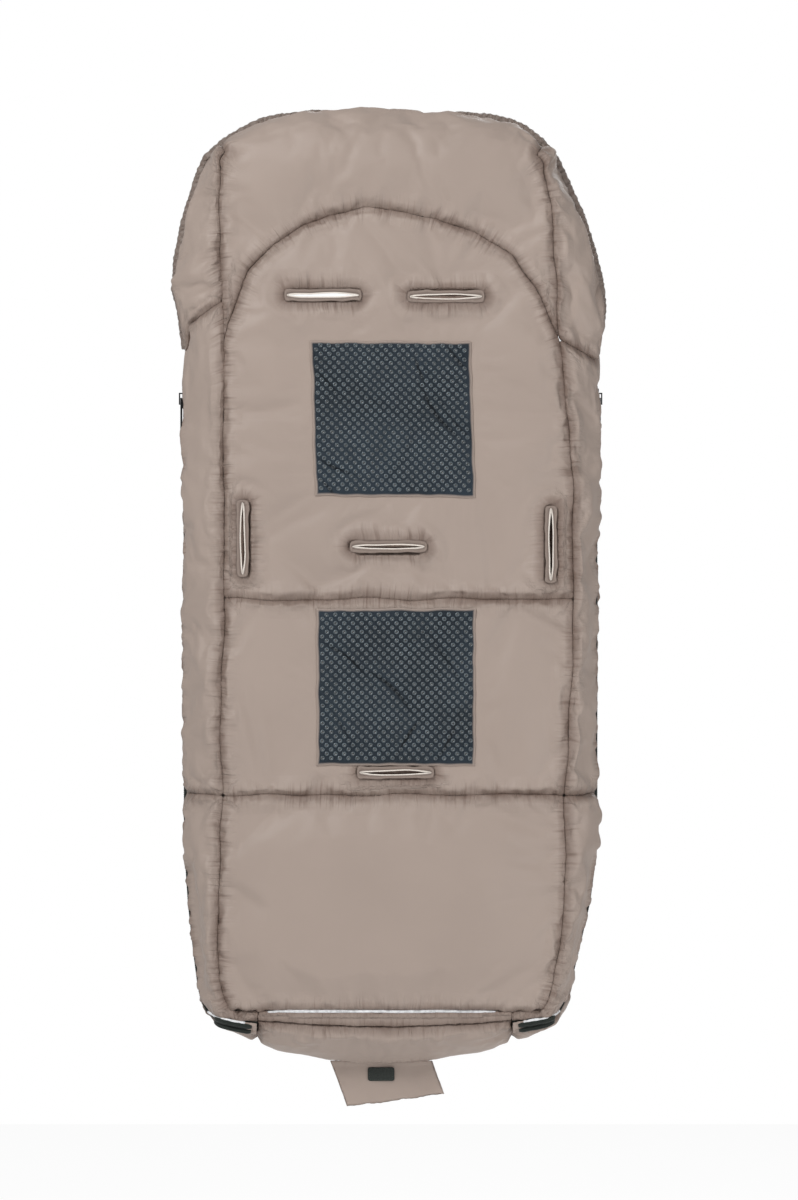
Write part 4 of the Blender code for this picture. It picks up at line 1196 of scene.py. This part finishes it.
def end_fold(node, carrier):
    """The ribbed fold of tape and coil that stands out at a coil's closed end, set on a carrier."""
    rows = along_coil(node, 0.0015)[-30:-3]
    ring = 28
    verts = []
    for j, (here, along, across, out) in enumerate(rows):
        end = min(1.0, (j + 0.6) / 4, (len(rows) - j - 0.4) / 3) ** 0.5
        for k in range(ring):
            turn = 2 * math.pi * k / ring
            beside, rise = math.cos(turn), math.sin(turn)
            ribs = 0.00038 * math.cos(7 * turn) if rise > -0.2 else 0.0
            place = here + across * (0.0029 * beside - 0.0018) * (0.7 + 0.3 * end)
            place += out * (0.0012 + (0.0034 * rise + ribs) * end) + Vector((0, -0.0012, -0.0012))
            verts.append(place + Vector((0, 0, 0.0003)) * noise(place * 200))
    piece = mesh_piece(f"{node}_end_fold", verts, tube(len(rows), ring))
    outwards(piece)
    finished(piece, "tape", carrier, stands_for=False)


def bead_shape():
    """One tooth, as points and faces."""
    shape = added(bpy.ops.mesh.primitive_uv_sphere_add, segments=8, ring_count=5, radius=1)
    with editing(shape):
        bpy.ops.transform.resize(value=(0.0016, 0.00075, 0.0010), center_override=(0, 0, 0))
    return taken(shape)


def end_cover(node):
    """The cloth over a zip's closed end."""
    piece = copy_node(node, f"{node}_cloth")
    evenly(piece, 0.0009)
    push(piece, lambda k, place: 0.0004 * noise(place * 260))
    # Painted crease shade all over the cover, patchy, with fine painted wrinkle lines
    point_values(piece, "seam", [0.6 + 0.3 * noise(v.co * 300) for v in piece.data.vertices])
    point_places(piece, "sewn", places_of(piece))
    finished(piece, "shell", node)


class FOOTMUFF_OT_zips(bpy.types.Operator):
    """Sets the teeth on the zips' coils and gives the zips their finishes"""

    bl_idname = "footmuff.zips"
    bl_label = "Zips"

    def execute(self, context):
        for side in ("left", "right"):
            end = f"{side}_zip_end_cover"
            for owner in ("body", "cover"):
                start = f"{side}_zip_{owner}"
                teeth(f"{start}_coil")
                end_fold(f"{start}_coil", end if owner == "cover" else f"{start}_coil")
                repaint(f"{start}_tape", "tape")
                repaint(f"{start}_coil", "coil")
                repaint(f"{start}_stop", "metal")
            repaint(f"{side}_zip_slider", "metal")
            repaint(f"{side}_zip_pull", "metal")
            end_cover(end)
        return {"FINISHED"}


# Foot tab

def stitches():
    """A row of stitches round the fastener patch, just inside its edge."""
    low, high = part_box("foot_tab_fastener")
    inset, pitch, size = 0.0017, 0.0021, Vector((0.00075, 0.00028, 0.00022))
    left, right, foot, head = low.x + inset, high.x - inset, low.z + inset, high.z - inset
    ends = ((left, foot), (right, foot), (right, head), (left, head))
    corners = [Vector((x, low.y, z)) for x, z in ends]
    stitch = [
        Vector((reach * size.x, width * size.y * math.cos(turn), width * size.z * math.sin(turn)))
        for reach, width in ((-1, 0.25), (-0.6, 1), (0.6, 1), (1, 0.25))
        for turn in (2 * math.pi * k / 8 for k in range(8))
    ]
    shape = stitch, tube(4, 8)
    verts, faces = [], []
    out = Vector((0, -1, 0))
    for a, b in zip(corners, corners[1:] + corners[:1]):
        along = (b - a).normalized()
        for here, _ in spaced([a, b], pitch):
            put(verts, faces, shape, here, (along, out, along.cross(out)))
    piece = mesh_piece("foot_tab_stitches", verts, faces)
    outwards(piece)
    finished(piece, "thread", "foot_tab", stands_for=False)


class FOOTMUFF_OT_tab(bpy.types.Operator):
    """Hangs the foot tab and its fastener patch"""

    bl_idname = "footmuff.tab"
    bl_label = "Foot Tab"

    def execute(self, context):
        a, b, c, d = (Vector((p.x, ZIP_DEPTH, p.z)) for p in corners_of("foot_tab", 2))
        piece = grid_piece("foot_tab_cloth", 60, 30)
        shade = []
        for v in piece.data.vertices:
            u, w = v.co.x + 0.5, v.co.y + 0.5
            flat = a.lerp(b, u).lerp(d.lerp(c, u), w)
            edge = min(u * 2, (1 - u) * 2, w)
            ragged = noise(flat * 45) + 0.5 * noise(flat * 260)
            flat.z += 0.0014 * ragged * (1 - ease(w / 0.5))
            flat.x += 0.0012 * ragged * (1 - ease(min(u, 1 - u) / 0.3)) * (1 - w)
            near = 1 - ease(edge / 0.10)
            wave = 0.0014 * noise(flat * 45) + 0.0005 * noise(flat * 220) * near
            curl = 0.0045 * ease((u - 0.75) / 0.25) * ease((0.5 - w) / 0.5)
            flat.y = 0.0522 + wave * ease((1 - w) / 0.15) - curl
            v.co = flat
            # Painted shade: darker along the tab's sides and free end, and at its top, where it meets the
            # foot end
            shade.append(0.45 * (1 - ease(edge / 0.04)) + 0.35 * ease((w - 0.86) / 0.14) + 0.3)
        point_values(piece, "seam", shade)
        point_places(piece, "sewn", places_of(piece))
        modify(piece, "SOLIDIFY", thickness=0.0016, offset=0)
        round_edges(piece, 0.0006)
        finished(piece, "shell", "foot_tab")

        piece = copy_node("foot_tab_fastener", "foot_tab_fastener_hooks")
        round_edges(piece, 0.0003)
        finished(piece, "hooks", "foot_tab_fastener")
        stitches()
        return {"FINISHED"}


# Stage

def add_lamp(name, place, size, power):
    data = bpy.data.lights.new(name, "AREA")
    data.size = size
    data.energy = power
    lamp = bpy.data.objects.new(name, data)
    lamp.location = place
    aim = Vector((0, 0.05, -0.15)) - Vector(place)
    lamp.rotation_euler = aim.to_track_quat("-Z", "Y").to_euler()
    bpy.context.scene.collection.objects.link(lamp)


def white_to_camera(tree, kind, dull, out, operation, second):
    """Mixes plain white into a shader for the camera, by the node operation on Is Camera Ray."""
    nodes, links = tree.nodes, tree.links
    white, mix = nodes.new(kind), nodes.new("ShaderNodeMixShader")
    rays, share = nodes.new("ShaderNodeLightPath").outputs, nodes.new("ShaderNodeMath")
    white.inputs["Color"].default_value = (1, 1, 1, 1)
    share.operation = operation
    links.new(rays["Is Camera Ray"], share.inputs[0])
    if isinstance(second, str):
        links.new(rays[second], share.inputs[1])
    else:
        share.inputs[1].default_value = second
    for k, node in enumerate((share, dull, white)):
        links.new(node.outputs[0], mix.inputs[k])
    links.new(mix.outputs[0], nodes[out].inputs["Surface"])


def floor_paint():
    """White to the camera, with the object's shadow still on it."""
    material = bpy.data.materials.new("floor")
    material.use_nodes = True
    tree = material.node_tree
    shader = tree.nodes["Principled BSDF"]
    shader.inputs["Base Color"].default_value = (0.9, 0.9, 0.9, 1)
    shader.inputs["Roughness"].default_value = 0.9
    white_to_camera(tree, "ShaderNodeEmission", shader, "Material Output", "MULTIPLY", 0.93)
    return material


def surroundings(scene):
    """A dim white world, which the camera and clear pieces see as full white."""
    scene.world = bpy.data.worlds.new("surroundings")
    scene.world.use_nodes = True
    tree = scene.world.node_tree
    dim = tree.nodes["Background"]
    dim.inputs["Color"].default_value = (1, 1, 1, 1)
    dim.inputs["Strength"].default_value = 0.38
    white_to_camera(tree, "ShaderNodeBackground", dim, "World Output", "MAXIMUM", "Is Transmission Ray")


class FOOTMUFF_OT_stage(bpy.types.Operator):
    """Sets the floor, the white surroundings, the lamps and the camera"""

    bl_idname = "footmuff.stage"
    bl_label = "Stage"

    def execute(self, context):
        scene = context.scene
        scene.view_settings.view_transform = "Standard"
        place = (0, 0, CAD_BOUNDS[0][2] - FLOOR_DROP)
        floor = added(bpy.ops.mesh.primitive_plane_add, size=7, location=place)
        floor.name = "floor"
        bpy.ops.object.transform_apply(location=True)
        floor.data.materials.append(floor_paint())
        surroundings(scene)
        add_lamp("key", (-1.4, -2.1, 1.7), 1.0, 54)
        add_lamp("fill", (1.8, -2.0, -0.9), 1.8, 30)
        add_lamp("front", (0.6, 2.6, 1.2), 1.8, 40)
        data = bpy.data.cameras.new("camera")
        data.lens = 100
        data.sensor_fit = "VERTICAL"
        data.sensor_height = 36
        camera = bpy.data.objects.new("camera", data)
        camera.location = (0.008, -3.333, -0.181)
        camera.rotation_euler = Euler((math.pi / 2, 0, 0))
        scene.collection.objects.link(camera)
        scene.camera = camera
        return {"FINISHED"}


class FOOTMUFF_PT_panel(bpy.types.Panel):
    bl_label = "Footmuff"
    bl_idname = "FOOTMUFF_PT_panel"
    bl_space_type = "VIEW_3D"
    bl_region_type = "UI"
    bl_category = "Footmuff"

    def draw(self, context):
        for kind in OPERATORS:
            self.layout.operator(kind.bl_idname)
        for group in (context.scene.footmuff_sizes, context.scene.footmuff_colours):
            box = self.layout.box()
            for name in group.__annotations__:
                box.prop(group, name)


OPERATORS = (
    FOOTMUFF_OT_shell,
    FOOTMUFF_OT_linings,
    FOOTMUFF_OT_rim,
    FOOTMUFF_OT_patches,
    FOOTMUFF_OT_slots,
    FOOTMUFF_OT_hem,
    FOOTMUFF_OT_zips,
    FOOTMUFF_OT_tab,
    FOOTMUFF_OT_stage,
)
CLASSES = (FootmuffColours, FootmuffSizes, *OPERATORS, FOOTMUFF_PT_panel)


def register():
    for kind in CLASSES:
        bpy.utils.register_class(kind)
    bpy.types.Scene.footmuff_colours = bpy.props.PointerProperty(type=FootmuffColours)
    bpy.types.Scene.footmuff_sizes = bpy.props.PointerProperty(type=FootmuffSizes)


def unregister():
    del bpy.types.Scene.footmuff_sizes
    del bpy.types.Scene.footmuff_colours
    for kind in reversed(CLASSES):
        bpy.utils.unregister_class(kind)


def main():
    register()
    bpy.ops.footmuff.shell()
    bpy.ops.footmuff.linings()
    bpy.ops.footmuff.rim()
    bpy.ops.footmuff.patches()
    bpy.ops.footmuff.slots()
    bpy.ops.footmuff.hem()
    bpy.ops.footmuff.zips()
    bpy.ops.footmuff.tab()
    bpy.ops.footmuff.stage()


if __name__ == "__main__":
    main()
